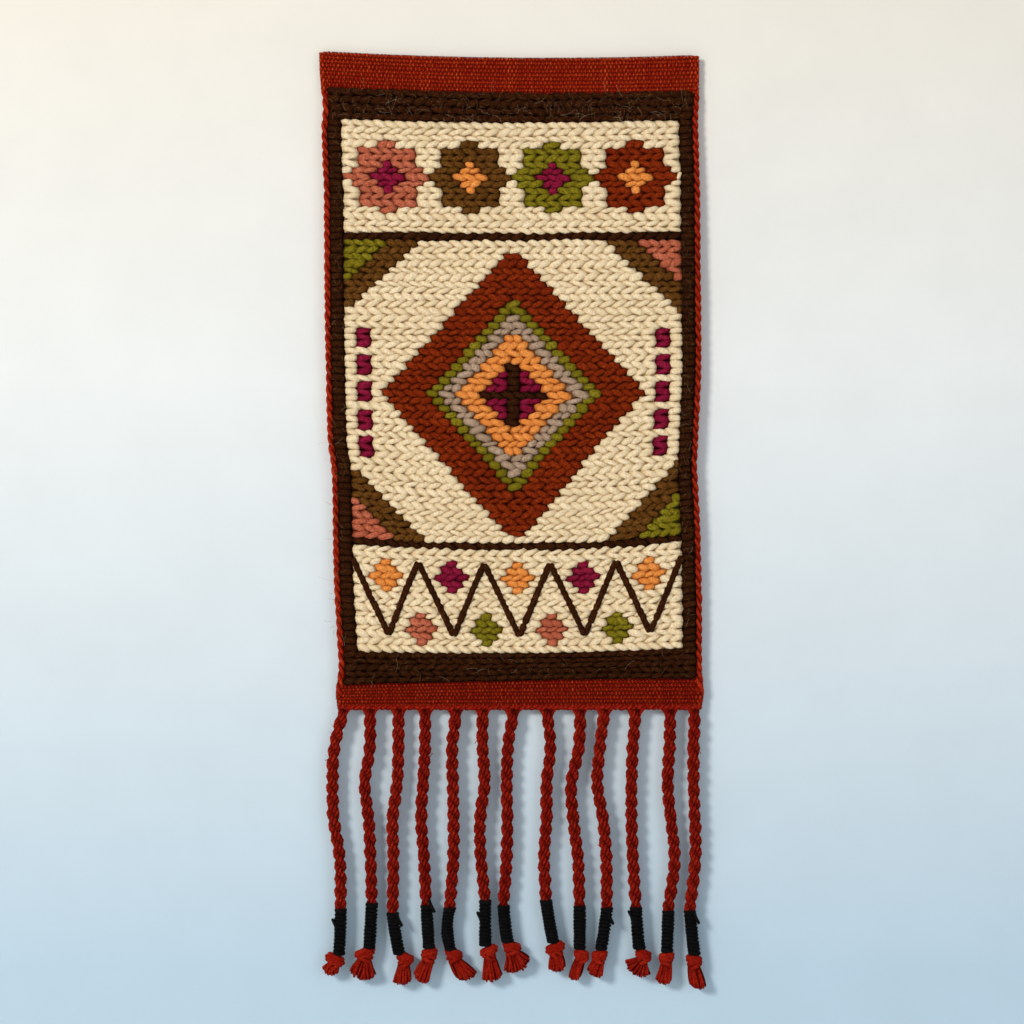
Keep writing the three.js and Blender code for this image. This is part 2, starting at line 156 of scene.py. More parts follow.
def yarn(paths, radius, sides, spin=0.5, flat=1.0, seed=0, toward=(0.0, -1.0, 0.0), shade=None):
    """Closed tubes along paths (tube, ring, xyz) in mm. flat squeezes them along toward."""
    rng = np.random.default_rng(seed)
    tubes, rings, _ = paths.shape
    radius = np.broadcast_to(np.asarray(radius, float), (tubes, rings))
    run = unit(np.gradient(paths, axis=1))
    side = unit(np.cross(run, np.broadcast_to(np.asarray(toward, float), paths.shape)))
    over = np.cross(side, run)
    angle = TWO_PI * np.arange(sides) / sides
    ring = np.cos(angle)[:, None] * side[:, :, None] + flat * np.sin(angle)[:, None] * over[:, :, None]
    skin = paths[:, :, None] + radius[:, :, None, None] * ring
    ends = np.stack([paths[:, 0] - run[:, 0] * radius[:, :1] * END_BULGE,
                     paths[:, -1] + run[:, -1] * radius[:, -1:] * END_BULGE], axis=1)
    points = np.concatenate([skin.reshape(tubes, rings * sides, 3), ends], axis=1)

    steps = np.linalg.norm(np.diff(paths, axis=1), axis=-1)
    along = np.concatenate([np.zeros((tubes, 1)), np.cumsum(steps, axis=1)], axis=1)
    place = along + rng.uniform(0, FLEECE_LONG, (tubes, 1))
    turned = angle + spin * along[:, :, None]
    wide = radius[:, :, None]
    within = np.stack([np.broadcast_to(place[:, :, None], turned.shape),
                       wide * np.cos(turned), wide * np.sin(turned)], axis=-1)
    caps = np.stack([place[:, [0, -1]], np.zeros((tubes, 2)), np.zeros((tubes, 2))], axis=-1)
    strand = np.concatenate([within.reshape(tubes, rings * sides, 3), caps], axis=1)

    if shade is None:
        shade = rng.uniform(0, 1, (tubes, 1))
    shade = np.broadcast_to(shade, (tubes, rings))

    i, j = np.meshgrid(np.arange(rings - 1), np.arange(sides), indexing="ij")
    nxt = (j + 1) % sides
    quads = np.stack([i * sides + j, (i + 1) * sides + j, (i + 1) * sides + nxt, i * sides + nxt], -1)
    k = np.arange(sides)
    first, last = rings * sides, rings * sides + 1
    turn = (k + 1) % sides
    top = np.stack([np.full(sides, first), k, turn], -1)
    foot = np.stack([np.full(sides, last), (rings - 1) * sides + turn, (rings - 1) * sides + k], -1)
    hop = (np.arange(tubes) * (rings * sides + 2))[:, None, None]
    return {
        "points": points.reshape(-1, 3),
        "quads": (quads.reshape(1, -1, 4) + hop).reshape(-1, 4),
        "tris": (np.concatenate([top, foot])[None] + hop).reshape(-1, 3),
        "strand": strand.reshape(-1, 3),
        "shade": per_point(shade, sides),
        "depth": np.ones(points.shape[0] * points.shape[1]),
    }


def out_of_cloth(part):
    """How far each point stands in front of the cloth's back, in mm."""
    return -part["points"][:, 1] - read(BOW, "off", -part["points"][:, 2])


def with_depth(part, reach, low, high):
    """Keeps how deep each point lies, from 0 in a pit (reach at low) to 1 on a crest (at high)."""
    # Painted shade: the material turns each point towards its pit colour as this falls to 0.
    part["depth"] = np.clip((reach - low) / (high - low), 0, 1)
    return part


def together(parts):
    """Several lots of yarn as one."""
    whole = {key: [] for key in ("points", "quads", "tris", "strand", "shade", "depth")}
    count = 0
    for part in parts:
        for key in whole:
            hop = count if key in ("quads", "tris") else 0
            whole[key].append(part[key] + hop)
        count += len(part["points"])
    return {key: np.concatenate(lots) for key, lots in whole.items()}


# %% [markdown]
# ## From yarn to a named piece
# A piece is a mesh at the origin with its place in its vertices. Its faces are turned outwards by the
# sign of its volume, and it rides on the one body of the part.

# %% Make a piece
KEPT_ON_POINTS = [
    ("strand", "FLOAT_VECTOR", "vector"),
    ("shade", "FLOAT", "value"),
    ("depth", "FLOAT", "value"),
]
made = []


def volume(points, quads, tris):
    halves = np.concatenate([quads[:, [0, 1, 2]], quads[:, [0, 2, 3]], tris])
    a, b, c = (points[halves[:, i]] for i in range(3))
    return float(np.einsum("ij,ij->i", a, np.cross(b, c)).sum() / 6)


def piece(name, part, material, stands_for=()):
    points, quads, tris = part["points"] * MM, part["quads"], part["tris"]
    if volume(points, quads, tris) < 0:
        quads, tris = quads[:, ::-1], tris[:, ::-1]
    mesh = bpy.data.meshes.new(name)
    corners = np.concatenate([quads.ravel(), tris.ravel()])
    starts = np.concatenate([np.arange(len(quads)) * 4, len(quads) * 4 + np.arange(len(tris)) * 3])
    mesh.vertices.add(len(points))
    mesh.vertices.foreach_set("co", points.ravel())
    mesh.loops.add(len(corners))
    mesh.loops.foreach_set("vertex_index", corners.astype(np.int32))
    mesh.polygons.add(len(starts))
    mesh.polygons.foreach_set("loop_start", starts.astype(np.int32))
    mesh.polygons.foreach_set("use_smooth", np.ones(len(starts), bool))
    for key, kind, field in KEPT_ON_POINTS:
        mesh.attributes.new(key, kind, "POINT").data.foreach_set(field, part[key].ravel())
    mesh.update(calc_edges=True)
    mesh.validate()
    mesh.materials.append(material)
    made_object = bpy.data.objects.new(name, mesh)
    bpy.context.scene.collection.objects.link(made_object)
    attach(made_object, "root")
    if stands_for:
        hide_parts(*stands_for)
    made.append(made_object)
    print(name, "triangles:", len(quads) * 2 + len(tris))
    return made_object


# %% [markdown]
# ## What wool looks like
# Wool yarn is matt, with fine fibres that run along it and turn with its spin, a soft halo of fibre
# ends, and a colour that drifts from thread to thread. One node group makes the fibres as a height,
# and another mixes the dye and paints shade into the pits between threads. Both read the `strand`
# attribute, so they follow every bend of the yarn.
# The halo is the sheen of the shader, which sits in the material itself. The rust is one yarn in three
# wools: the heading's is brightest, and darker copies paint shade on the edges and the foot band, and
# more on the cords, which hang lowest.

# %% Node helpers
def add_node(tree, kind, **values):
    made_node = tree.nodes.new(kind)
    for key, value in values.items():
        setattr(made_node, key, value)
    return made_node


def srgb(red, green, blue):
    """A colour as the eye names it, 0 to 255, in the linear values that shaders take."""
    def linear(value):
        value = value / 255
        return value / 12.92 if value <= 0.04045 else ((value + 0.055) / 1.055) ** 2.4
    return (linear(red), linear(green), linear(blue), 1.0)


def new_group(name, inputs, outputs):
    group = bpy.data.node_groups.new(name, "ShaderNodeTree")
    for label, kind, value in inputs:
        socket = group.interface.new_socket(name=label, in_out="INPUT", socket_type=kind)
        socket.default_value = value
    for label, kind in outputs:
        group.interface.new_socket(name=label, in_out="OUTPUT", socket_type=kind)
    return group, group.nodes.new("NodeGroupInput"), group.nodes.new("NodeGroupOutput")


def stretched_noise(tree, source, stretch, scale, detail):
    mapping = add_node(tree, "ShaderNodeMapping")
    mapping.inputs["Scale"].default_value = stretch
    noise = add_node(tree, "ShaderNodeTexNoise")
    noise.inputs["Scale"].default_value = scale
    noise.inputs["Detail"].default_value = detail
    noise.inputs["Roughness"].default_value = 0.6
    tree.links.new(source, mapping.inputs["Vector"])
    tree.links.new(mapping.outputs["Vector"], noise.inputs["Vector"])
    return noise.outputs["Fac"]


def ranged(tree, value, low, high, to_low=0.0, to_high=1.0):
    node = add_node(tree, "ShaderNodeMapRange")
    limits = {"From Min": low, "From Max": high, "To Min": to_low, "To Max": to_high}
    for label, number in limits.items():
        node.inputs[label].default_value = number
    tree.links.new(value, node.inputs["Value"])
    return node.outputs["Result"]


def feed(tree, socket, value):
    """Links a socket to another one, or sets a plain value on it."""
    if isinstance(value, bpy.types.NodeSocket):
        tree.links.new(value, socket)
    else:
        socket.default_value = value


def mixed(tree, part, a, b):
    """A mix of colours: a where part is 0, and b where it is 1."""
    node = add_node(tree, "ShaderNodeMix", data_type="RGBA")
    for place, value in ((0, part), (6, a), (7, b)):
        feed(tree, node.inputs[place], value)
    return node.outputs[2]


def sums(tree, operation, a, b):
    node = add_node(tree, "ShaderNodeMath", operation=operation)
    feed(tree, node.inputs[0], a)
    feed(tree, node.inputs[1], b)
    return node.outputs[0]


# %% Group: spun fibres
FIBRE_STRETCH, LUMP_STRETCH = (0.3, 1.5, 1.5), (0.28, 0.5, 0.5)
FIBRE_HIGH, LUMP_HIGH = 0.75, 0.6


def spun_fibres():
    outputs = [("Height", "NodeSocketFloat"), ("Fibre", "NodeSocketFloat")]
    group, _, result = new_group("spun fibres", [], outputs)
    strand = add_node(group, "ShaderNodeAttribute", attribute_name="strand").outputs["Vector"]
    fibre = ranged(group, stretched_noise(group, strand, FIBRE_STRETCH, 1.0, 4.0), 0.36, 0.64)
    lumps = stretched_noise(group, strand, LUMP_STRETCH, 1.0, 1.0)
    fibre_height = sums(group, "MULTIPLY", fibre, FIBRE_HIGH)
    lump_height = sums(group, "MULTIPLY", lumps, LUMP_HIGH)
    height = sums(group, "ADD", fibre_height, lump_height)
    group.links.new(height, result.inputs["Height"])
    group.links.new(fibre, result.inputs["Fibre"])
    return group


# %% Group: dyed wool and painted pit shade
DYE_AND_SHADE_NAMES = ("Main", "Light", "Dark", "Pit shade", "Fleck")
EVEN, FLECK_STRETCH = (1.0, 1.0, 1.0), (0.5, 1.7, 1.7)
DRIFT_SCALE, FLUFF_SCALE, FLUFF_PART = 26.0, 620.0, 0.8


def dyed_and_shaded_wool():
    inputs = [(name, "NodeSocketColor", (0.5, 0.5, 0.5, 1)) for name in DYE_AND_SHADE_NAMES]
    inputs += [("Fleck part", "NodeSocketFloat", 0.0), ("Fibre", "NodeSocketFloat", 0.5)]
    group, given, result = new_group("dyed wool", inputs, [("Colour", "NodeSocketColor")])
    strand = add_node(group, "ShaderNodeAttribute", attribute_name="strand").outputs["Vector"]
    shade = add_node(group, "ShaderNodeAttribute", attribute_name="shade").outputs["Fac"]
    depth = add_node(group, "ShaderNodeAttribute", attribute_name="depth").outputs["Fac"]
    place = add_node(group, "ShaderNodeTexCoord").outputs["Object"]
    drift = ranged(group, stretched_noise(group, place, EVEN, DRIFT_SCALE, 2.0), 0.35, 0.7)
    fluff = ranged(group, stretched_noise(group, place, EVEN, FLUFF_SCALE, 2.0), 0.4, 0.66)
    lighter = sums(group, "MULTIPLY", given.outputs["Fibre"], ranged(group, shade, 0, 1, 0.5, 1.0))
    colour = mixed(group, lighter, given.outputs["Main"], given.outputs["Light"])
    deeper = sums(group, "MULTIPLY", drift, ranged(group, shade, 0, 1, 0.6, 0.15))
    deeper = sums(group, "MAXIMUM", deeper, sums(group, "MULTIPLY", fluff, FLUFF_PART))
    colour = mixed(group, deeper, colour, given.outputs["Dark"])
    specks = ranged(group, stretched_noise(group, strand, FLECK_STRETCH, 1.0, 2.0), 0.6, 0.68)
    speckled = sums(group, "MULTIPLY", specks, given.outputs["Fleck part"])
    colour = mixed(group, speckled, colour, given.outputs["Fleck"])
    # Painted shade: where depth is low, in the pits between threads, the colour turns towards the pit
    # colour.
    colour = mixed(group, ranged(group, depth, 0, 1, 0.9, 0.0), colour, given.outputs["Pit shade"])
    group.links.new(colour, result.inputs["Colour"])
    return group


FIBRES = spun_fibres()
SHADED_DYE_GROUP = dyed_and_shaded_wool()


# %% Materials: one wool for each dye, and darker copies of the rust that paint shade
FIBRE_RELIEF = 0.0009


def wool(name, main, light, dark, pit_shade, fleck=(60, 45, 30), fleck_part=0.0, fuzz=0.03, relief=0.75):
    material = bpy.data.materials.new(name)
    material.use_nodes = True
    tree = material.node_tree
    shader = tree.nodes["Principled BSDF"]
    fibres = add_node(tree, "ShaderNodeGroup", node_tree=FIBRES)
    colour_and_shade = add_node(tree, "ShaderNodeGroup", node_tree=SHADED_DYE_GROUP)
    # The pit colour is painted shade, which the group lays into the pits between threads.
    for label, colour in zip(DYE_AND_SHADE_NAMES, (main, light, dark, pit_shade, fleck)):
        colour_and_shade.inputs[label].default_value = srgb(*colour)
    colour_and_shade.inputs["Fleck part"].default_value = fleck_part
    bump = add_node(tree, "ShaderNodeBump")
    bump.inputs["Strength"].default_value = relief
    bump.inputs["Distance"].default_value = FIBRE_RELIEF
    tree.links.new(fibres.outputs["Fibre"], colour_and_shade.inputs["Fibre"])
    tree.links.new(colour_and_shade.outputs["Colour"], shader.inputs["Base Color"])
    tree.links.new(fibres.outputs["Height"], bump.inputs["Height"])
    tree.links.new(bump.outputs["Normal"], shader.inputs["Normal"])
    shader.inputs["Roughness"].default_value = 0.92
    shader.inputs["Specular IOR Level"].default_value = 0.05
    shader.inputs["Sheen Weight"].default_value = fuzz
    shader.inputs["Sheen Roughness"].default_value = 0.4
    shader.inputs["Sheen Tint"].default_value = srgb(*light)
    return material


# The fourth colour of each wool is its pit colour, the painted shade of its pits.
WOOLS = {
    "rust": wool("rust wool", (122, 34, 4), (166, 62, 16), (84, 16, 2), (46, 6, 0), (40, 18, 10), 0.5),
    "cream": wool("cream wool", (246, 222, 182), (255, 240, 208), (214, 186, 140), (200, 168, 120),
                  fuzz=0.08),
    "orange": wool("orange wool", (234, 142, 62), (252, 176, 98), (204, 108, 38), (140, 58, 10)),
    "olive": wool("olive wool", (120, 106, 14), (158, 146, 44), (88, 74, 4), (44, 34, 0)),
    "magenta": wool("magenta wool", (128, 12, 44), (172, 42, 78), (90, 4, 26), (46, 0, 10)),
    "salmon": wool("salmon wool", (188, 96, 66), (224, 138, 104), (148, 62, 40), (92, 30, 14),
                   (70, 45, 40), 0.35),
    "brown": wool("middle brown wool", (92, 54, 12), (134, 88, 38), (62, 34, 6), (30, 14, 0)),
    "taupe": wool("taupe wool", (172, 144, 118), (206, 180, 156), (138, 110, 86), (84, 58, 38)),
    "dark": wool("dark brown wool", (46, 16, 2), (80, 42, 15), (26, 6, 0), (8, 1, 0),
                 (104, 72, 42), 0.2),
}
GROUND = wool("rust weaving yarn", (168, 28, 4), (226, 94, 40), (130, 10, 0), (84, 0, 0), relief=0.5)
# A darker copy of the rust weaving yarn: painted shade for the foot band and the edgings.
EDGE = wool("rust edge yarn", (152, 21, 4), (208, 76, 33), (114, 5, 0), (64, 0, 0), relief=0.6)
# The darkest copy of the same rust: painted shade for the twined row, the gathered warps, the cords and
# the knots.
CORD = wool("rust cord yarn", (138, 12, 5), (190, 52, 27), (98, 2, 1), (44, 0, 0))
THREAD = wool("charcoal thread", (11, 10, 11), (28, 26, 26), (6, 5, 6), (1, 1, 1), fuzz=0.02, relief=0.5)
HAIR = wool("pale hair", (150, 130, 104), (180, 160, 134), (110, 92, 70), (90, 72, 52), relief=0.1)
SHORT_HAIR = wool("brown hair", (118, 88, 52), (140, 112, 76), (88, 62, 34), (60, 40, 20), relief=0.1)
print("wools of the worked yarn:", len(WOOLS))

# %% [markdown]
# ## The ground under the stitches
# Between the two plain bands the ground is hidden from the front by the stitches and shows only at
# the back, as the ribs of its weft. It is one closed sheet, thin inside the bands, where real
# threads lie round it, and ribbed over its middle.

# %% Ground sheet
WEFT_PITCH = 2.8
BAND_LEVELS = [27.5, 33, 486, 489]
SHEET_TOP, SHEET_FOOT = 0.4, TWINE_DOWN - 1.0
SHEET_INSET = (1.0, EDGING_WIDE - 1.9)
SHEET_FRONT, SHEET_BACK = (1.75, 2.0), (1.3, 0.2)
SHEET_COLUMNS = 24
RIB_DEEP = 0.45


def ground_sheet():
    """The closed sheet. The pairs of sizes are for inside the bands and for the middle."""
    levels = np.arange(SHEET_TOP, SHEET_FOOT + 0.1, WEFT_PITCH / 2)
    levels[-1] = SHEET_FOOT
    middle = np.interp(levels, BAND_LEVELS, [0, 1, 1, 0])
    inset = blend(*SHEET_INSET, middle)
    across = np.linspace(0, 1, SHEET_COLUMNS + 1)
    x = blend((left_edge(levels) + inset)[:, None], (right_edge(levels) - inset)[:, None], across)
    down = np.broadcast_to(levels[:, None], x.shape)
    rib = np.where(np.arange(len(levels)) % 2 == 0, 0.0, RIB_DEEP)
    front = blend(*SHEET_FRONT, middle)[:, None] + 0 * x
    back = (blend(*SHEET_BACK, middle) + middle * rib)[:, None] + 0 * x
    rows, wide = x.shape
    points = np.concatenate([hang(x, down, front).reshape(-1, 3), hang(x, down, back).reshape(-1, 3)])
    i, j = np.meshgrid(np.arange(rows - 1), np.arange(wide - 1), indexing="ij")
    a = (i * wide + j).ravel()
    face = np.stack([a, a + wide, a + wide + 1, a + 1], -1)
    rim = np.concatenate([np.arange(wide), wide * np.arange(1, rows) + wide - 1,
                          (rows - 1) * wide + np.arange(wide - 2, -1, -1),
                          wide * np.arange(rows - 2, 0, -1)])
    after = np.roll(rim, -1)
    hop = rows * wide
    edge = np.stack([rim, after, after + hop, rim + hop], -1)
    strand = np.stack([points[:, 0], points[:, 2], 0 * points[:, 0]], -1)
    # Painted shade: the back is deeper in colour in the hollows between its weft ribs, and the front,
    # which lies under the stitches, is painted almost all in the pit colour.
    between_picks = blend(0.8, np.where(rib > 0, 0.3, 0.9), middle)
    return {
        "points": points,
        "quads": np.concatenate([face, face[:, ::-1] + hop, edge]),
        "tris": np.zeros((0, 3), int),
        "strand": strand,
        "shade": 0.5 + 0 * points[:, 0],
        "depth": np.concatenate([np.full(hop, 0.1), np.repeat(between_picks, wide)]),
    }


ground = piece("ground_sheet", ground_sheet(), GROUND, ["ground_cloth"])

# %% [markdown]
# ## The plain-woven bands
# The heading and the foot are an ordinary plain weave of thick yarn: every warp end goes over one
# weft pick and under the next, and its neighbour does the opposite. That makes the rows of small
# light dots with dark pits between them. The weft is a single thread that turns at each selvedge, as
# it does on a loom, and the two outermost warp ends of each side are thicker, which keeps it firm.

# %% Plain weave
WARP_ENDS, SIDE_ENDS = 196, 2
WARP_INSET = 0.3
WARP_LIFT, WEFT_LIFT = 0.95, 0.25
WARP_RADIUS, SIDE_RADIUS, WEFT_RADIUS = 0.76, 1.1, 0.9
SPIN = 0.9
RINGS_A_PICK = 3.2
WEAVE_MIDDLE = 1.6
WEAVE_PIT, WEAVE_CREST = 0.6, 1.5
CORNER_ENDS, CORNER_DROP = [0, 1, 2, 4], [1.9, 0.9, 0.4, 0.0]


def warp_place(end, down):
    """The x of a warp end, counted from 0 at the left, at a distance down."""
    return blend(left_edge(down) + WARP_INSET, right_edge(down) - WARP_INSET, (end + 0.5) / WARP_ENDS)


def weave_depth(part):
    # Painted shade: the threads are deeper in colour near the middle of the cloth, in the pits between
    # crossings.
    return with_depth(part, np.abs(out_of_cloth(part) - WEAVE_MIDDLE), WEAVE_PIT, WEAVE_CREST)


def warps(first_pick, from_down, to_down, seed):
    rng = np.random.default_rng(seed)
    rings = int((to_down - from_down) / WEFT_PITCH * RINGS_A_PICK)
    end = np.arange(WARP_ENDS)[:, None]
    from_side = np.minimum(end, WARP_ENDS - 1 - end)
    start = from_down + np.interp(from_side, CORNER_ENDS, CORNER_DROP)
    down = blend(start, to_down, np.linspace(0, 1, rings))
    x = warp_place(end, down) + wander(rng, down.shape, 5, 0.35)
    lift = WARP_LIFT * rng.uniform(0.7, 1.15, (WARP_ENDS, 1))
    out = WEAVE_MIDDLE + lift * np.cos(math.pi * ((down - first_pick) / WEFT_PITCH + end))
    radius = np.where(from_side < SIDE_ENDS, SIDE_RADIUS, WARP_RADIUS)
    radius = radius * (1 + wander(rng, down.shape, 6, 0.24))
    return weave_depth(yarn(hang(x, down, out), radius, 5, spin=SPIN, flat=0.9, seed=seed))


def weft(first_pick, picks, seed):
    rng = np.random.default_rng(seed)
    xs, downs, outs = [], [], []
    crossing = np.arange(-0.5, WARP_ENDS, 0.5)
    for pick in range(picks):
        level = first_pick + pick * WEFT_PITCH
        level = level + wander(rng, crossing.shape, 9, 0.3)
        out = WEAVE_MIDDLE - WEFT_LIFT * np.cos(math.pi * (pick + crossing))
        way = 1 if pick % 2 == 0 else -1
        xs.append(warp_place(crossing, level)[::way])
        downs.append(level[::way])
        outs.append(out[::way])
        side = right_edge(level[-1]) if way == 1 else left_edge(level[0])
        turn = np.array([0.2, 0.5, 0.8])
        bulge = side - way * (np.array([1.3, 1.0, 1.3]) + rng.uniform(-0.2, 0.2))
        if pick + 1 < picks:
            xs.append(bulge)
            downs.append(level[::way][-1] + turn * WEFT_PITCH)
            outs.append(np.full(3, WEAVE_MIDDLE))
    x, down, out = (np.concatenate(lots)[None] for lots in (xs, downs, outs))
    radius = WEFT_RADIUS * (1 + wander(rng, x.shape, 60, 0.2))
    shade = 0.45 + wander(rng, x.shape, 40, 0.45)
    return weave_depth(yarn(hang(x, down, out), radius, 5, spin=SPIN, seed=seed, shade=shade))


BANDS = {
    "heading": {"first": 0.3, "picks": 11, "from": -1.2, "to": 29.0, "wool": GROUND, "seed": 11},
    "foot": {"first": 488.6, "picks": 9, "from": 487.4, "to": 512.8, "wool": EDGE, "seed": 13},
}
for name, band in BANDS.items():
    band_warps = warps(band["first"], band["from"], band["to"], band["seed"])
    band_weft = weft(band["first"], band["picks"], band["seed"] + 1)
    piece(f"{name}_warps", band_warps, band["wool"])
    piece(f"{name}_weft", band_weft, band["wool"])

# %% [markdown]
# ## The twisted edgings
# A thin two-ply twist of rust yarn runs down both sides of the worked middle. Its lobes are 8 mm
# apart. Two round plies wind round one line, and each keeps its own slight unevenness.

# %% Edgings
EDGING_FROM, EDGING_TO, EDGING_STEP = 29.0, 503.0, 1.25
EDGING_LOBE = 8.0
EDGING_ACROSS, EDGING_DEEP, EDGING_RADIUS = 1.1, 0.9, 1.7
EDGING_PIT, EDGING_CREST = 1.4, 2.55


def edging(edge, inward, seed):
    rng = np.random.default_rng(seed)
    down = np.arange(EDGING_FROM, EDGING_TO, EDGING_STEP)
    turns = TWO_PI * (down - EDGING_FROM) / (2 * EDGING_LOBE) + wander(rng, down.shape, 30, 0.9)
    plies = []
    axis = edge(down) + inward * (EDGING_WIDE / 2 + 0.2)
    for half in (0, math.pi):
        across = EDGING_ACROSS * np.cos(turns + half) + wander(rng, down.shape, 50, 0.2)
        deep = EDGING_DEEP * np.sin(turns + half)
        plies.append(hang(axis + across, down, EDGING_WIDE / 2 - deep))
    radius = EDGING_RADIUS * (1 + wander(rng, (2, len(down)), 60, 0.14))
    twist = yarn(np.stack(plies), radius, 8, spin=SPIN, seed=seed)
    # Painted shade: the plies are deeper in colour where they turn in towards the twist's middle.
    from_axis = twist["points"][:, 0] - np.interp(-twist["points"][:, 2], down, axis)
    reach = np.hypot(from_axis, out_of_cloth(twist) - EDGING_WIDE / 2)
    return with_depth(twist, reach, EDGING_PIT, EDGING_CREST)


for side, edge, inward, seed in (("left", left_edge, 1, 21), ("right", right_edge, -1, 22)):
    piece(f"edging_twist_{side}", edging(edge, inward, seed), EDGE, [f"edging_{side}"])

# %% [markdown]
# ## One stitch, modelled
# Each stitch is a short plump length of yarn that slants across its row and tucks both ends under its
# neighbours, like a grain of rice. It is modelled once: a small sphere with its poles at the two
# ends, a little flattened, and fuller on both sides of its middle. It is drawn out when it is laid.
# Sixty-four faces are enough, because nearly three thousand of them cover the cloth.

# %% Model the stitch
GRAIN_SIDES = 8
GRAIN_FLAT, GRAIN_FULL = (1.0, 1.0, 0.94), (1.0, 1.05, 1.03)
FULL_FROM, FULL_TO = 0.3, 0.8


def model_stitch():
    bpy.ops.object.select_all(action="DESELECT")
    bpy.ops.mesh.primitive_uv_sphere_add(segments=GRAIN_SIDES, ring_count=GRAIN_SIDES, radius=1.0,
                                         rotation=(0, math.pi / 2, 0))
    bpy.ops.object.transform_apply(location=False, rotation=True, scale=False)
    grain = bpy.context.object
    bpy.ops.object.mode_set(mode="EDIT")
    bpy.ops.mesh.select_all(action="SELECT")
    bpy.ops.transform.resize(value=GRAIN_FLAT)
    bpy.ops.mesh.select_all(action="DESELECT")
    bpy.ops.object.mode_set(mode="OBJECT")
    for vertex in grain.data.vertices:
        vertex.select = FULL_FROM < abs(vertex.co.x) < FULL_TO
    bpy.ops.object.mode_set(mode="EDIT")
    bpy.ops.transform.resize(value=GRAIN_FULL)
    bpy.ops.object.mode_set(mode="OBJECT")
    points = np.array([vertex.co for vertex in grain.data.vertices])
    quads = np.array([f.vertices[:] for f in grain.data.polygons if len(f.vertices) == 4])
    tris = np.array([f.vertices[:] for f in grain.data.polygons if len(f.vertices) == 3])
    bpy.data.objects.remove(grain)
    print("stitch faces:", len(quads) + len(tris))
    return points, quads, tris


GRAIN, GRAIN_QUADS, GRAIN_TRIS = model_stitch()

# %% [markdown]
# ## Laying stitches
# A stitch is described by where its two ends lie along the row, the level of the row, and how far it
# rises, and then the one model is bent to it. It follows a soft S that is steepest in its middle, so
# that each one lies against the next like the strands of a plait. Under each run of stitches lies
# the yarn that carries them, a flat ridge that fills the creases from below. The bent grains are
# joined into one mesh for each wool.

# %% Bend the stitch to its place
SURFACE_OUT = 4.75
CREASE_OUT, CREST_OUT = 4.2, 6.6
PADDING_OUT, PADDING_STEP, PADDING_WIDE, PADDING_DEPTH = 3.3, 9, 0.53, 0.15
ROUND_END = 0.55
S_CURVE = 1.35
STITCH_SPIN = 0.16
STITCH_SIZES = ("x0", "x1", "down", "rise", "wide", "high", "out", "lean", "dive", "blunt")


def lay(stitches, seed):
    """Bends one grain to every stitch. Lengths are in mm on the flat cloth."""
    rng = np.random.default_rng(seed)
    table = np.array([[stitch[name] for name in STITCH_SIZES] for stitch in stitches], float)
    x0, x1, down, rise, wide, high, out, lean, dive, blunt = table.T[:, :, None]
    t, p, q = GRAIN[None, :, 0], GRAIN[None, :, 1], GRAIN[None, :, 2]
    full = np.maximum(1 - np.abs(t) ** blunt, 0) ** ROUND_END / np.maximum(1 - t * t, 1e-6) ** 0.5
    full = np.where(np.abs(t) > 0.999, 0, full)
    p, q = p * full, q * full
    reach = (x1 - x0) / 2
    slope = rise * S_CURVE * np.cos(S_CURVE * t) / reach
    tilt = np.hypot(1, slope)
    x = (x0 + x1) / 2 + reach * t - p * wide * slope / tilt
    level = down + rise * np.sin(S_CURVE * t) + p * wide / tilt
    proud = out + q * high + lean * t - dive * np.abs(t) ** 3
    points = hang(x, level, proud)
    angle = np.arctan2(q, p) + STITCH_SPIN * reach * t
    girth = np.hypot(p, q) * wide
    along = reach * t + rng.uniform(0, FLEECE_LONG, (len(stitches), 1))
    strand = np.stack([along, girth * np.cos(angle), girth * np.sin(angle)], -1)
    shade = np.broadcast_to(rng.uniform(0, 1, (len(stitches), 1)), along.shape)
    hop = (np.arange(len(stitches)) * len(GRAIN))[:, None, None]
    # Painted shade: depth makes each stitch deeper in colour where it dives into the creases between
    # stitches.
    return {
        "points": points.reshape(-1, 3),
        "quads": (GRAIN_QUADS[None] + hop).reshape(-1, 4),
        "tris": (GRAIN_TRIS[None] + hop).reshape(-1, 3),
        "strand": strand.reshape(-1, 3),
        "shade": shade.reshape(-1),
        "depth": np.clip((proud - CREASE_OUT) / (CREST_OUT - CREASE_OUT), 0, 1).reshape(-1),
    }


def padding(runs):
    """The yarn that lies along each run (its rows, row number, start and end) under the stitches."""
    lots = []
    for number, (rows, row, x0, x1) in enumerate(runs):
        rings = max(3, int((x1 - x0) / PADDING_STEP))
        x = np.linspace(x0 + 1.0, x1 - 1.0, rings)[None]
        above, below = rows.line(row, x), rows.line(row + 1, x)
        path = hang(x, (above + below) / 2, PADDING_OUT)
        lots.append(yarn(path, (below - above) * PADDING_WIDE, 5, flat=0.62, seed=number))
        # Painted shade: the padding lies deep under the stitches and takes mostly the pit colour.
        lots[-1]["depth"] *= PADDING_DEPTH
    return together(lots)


# %% [markdown]
# ## Rows of chain-like stitches
# The rows slant one way and then the other, so two rows together look like a plait. Hand work is
# never even: some rows are fat, some thin and flat, and the line between two rows wanders. Each line
# between rows has its own drift, and a row fills the room between its two lines.

# %% Rows
STITCH_PITCH, STITCH_HIGH = 9.2, 2.5
TUCK = 0.3
SHORT_RUN = 11.0
OVER_END = 1.1
SLANT = 0.46
DRIFT_WAVES = [(0.42, 29), (0.28, 11)]
STITCH_KINDS = {
    "alone": {"slant": 0.3, "wide": 0.53, "dive": 1.5, "blunt": 4.0},
    "at the end": {"slant": 0.7, "wide": 0.49, "dive": 2.0, "blunt": 2.8},
    "inside": {"slant": 1.0, "wide": 0.46, "dive": 2.0, "blunt": 2.3},
}


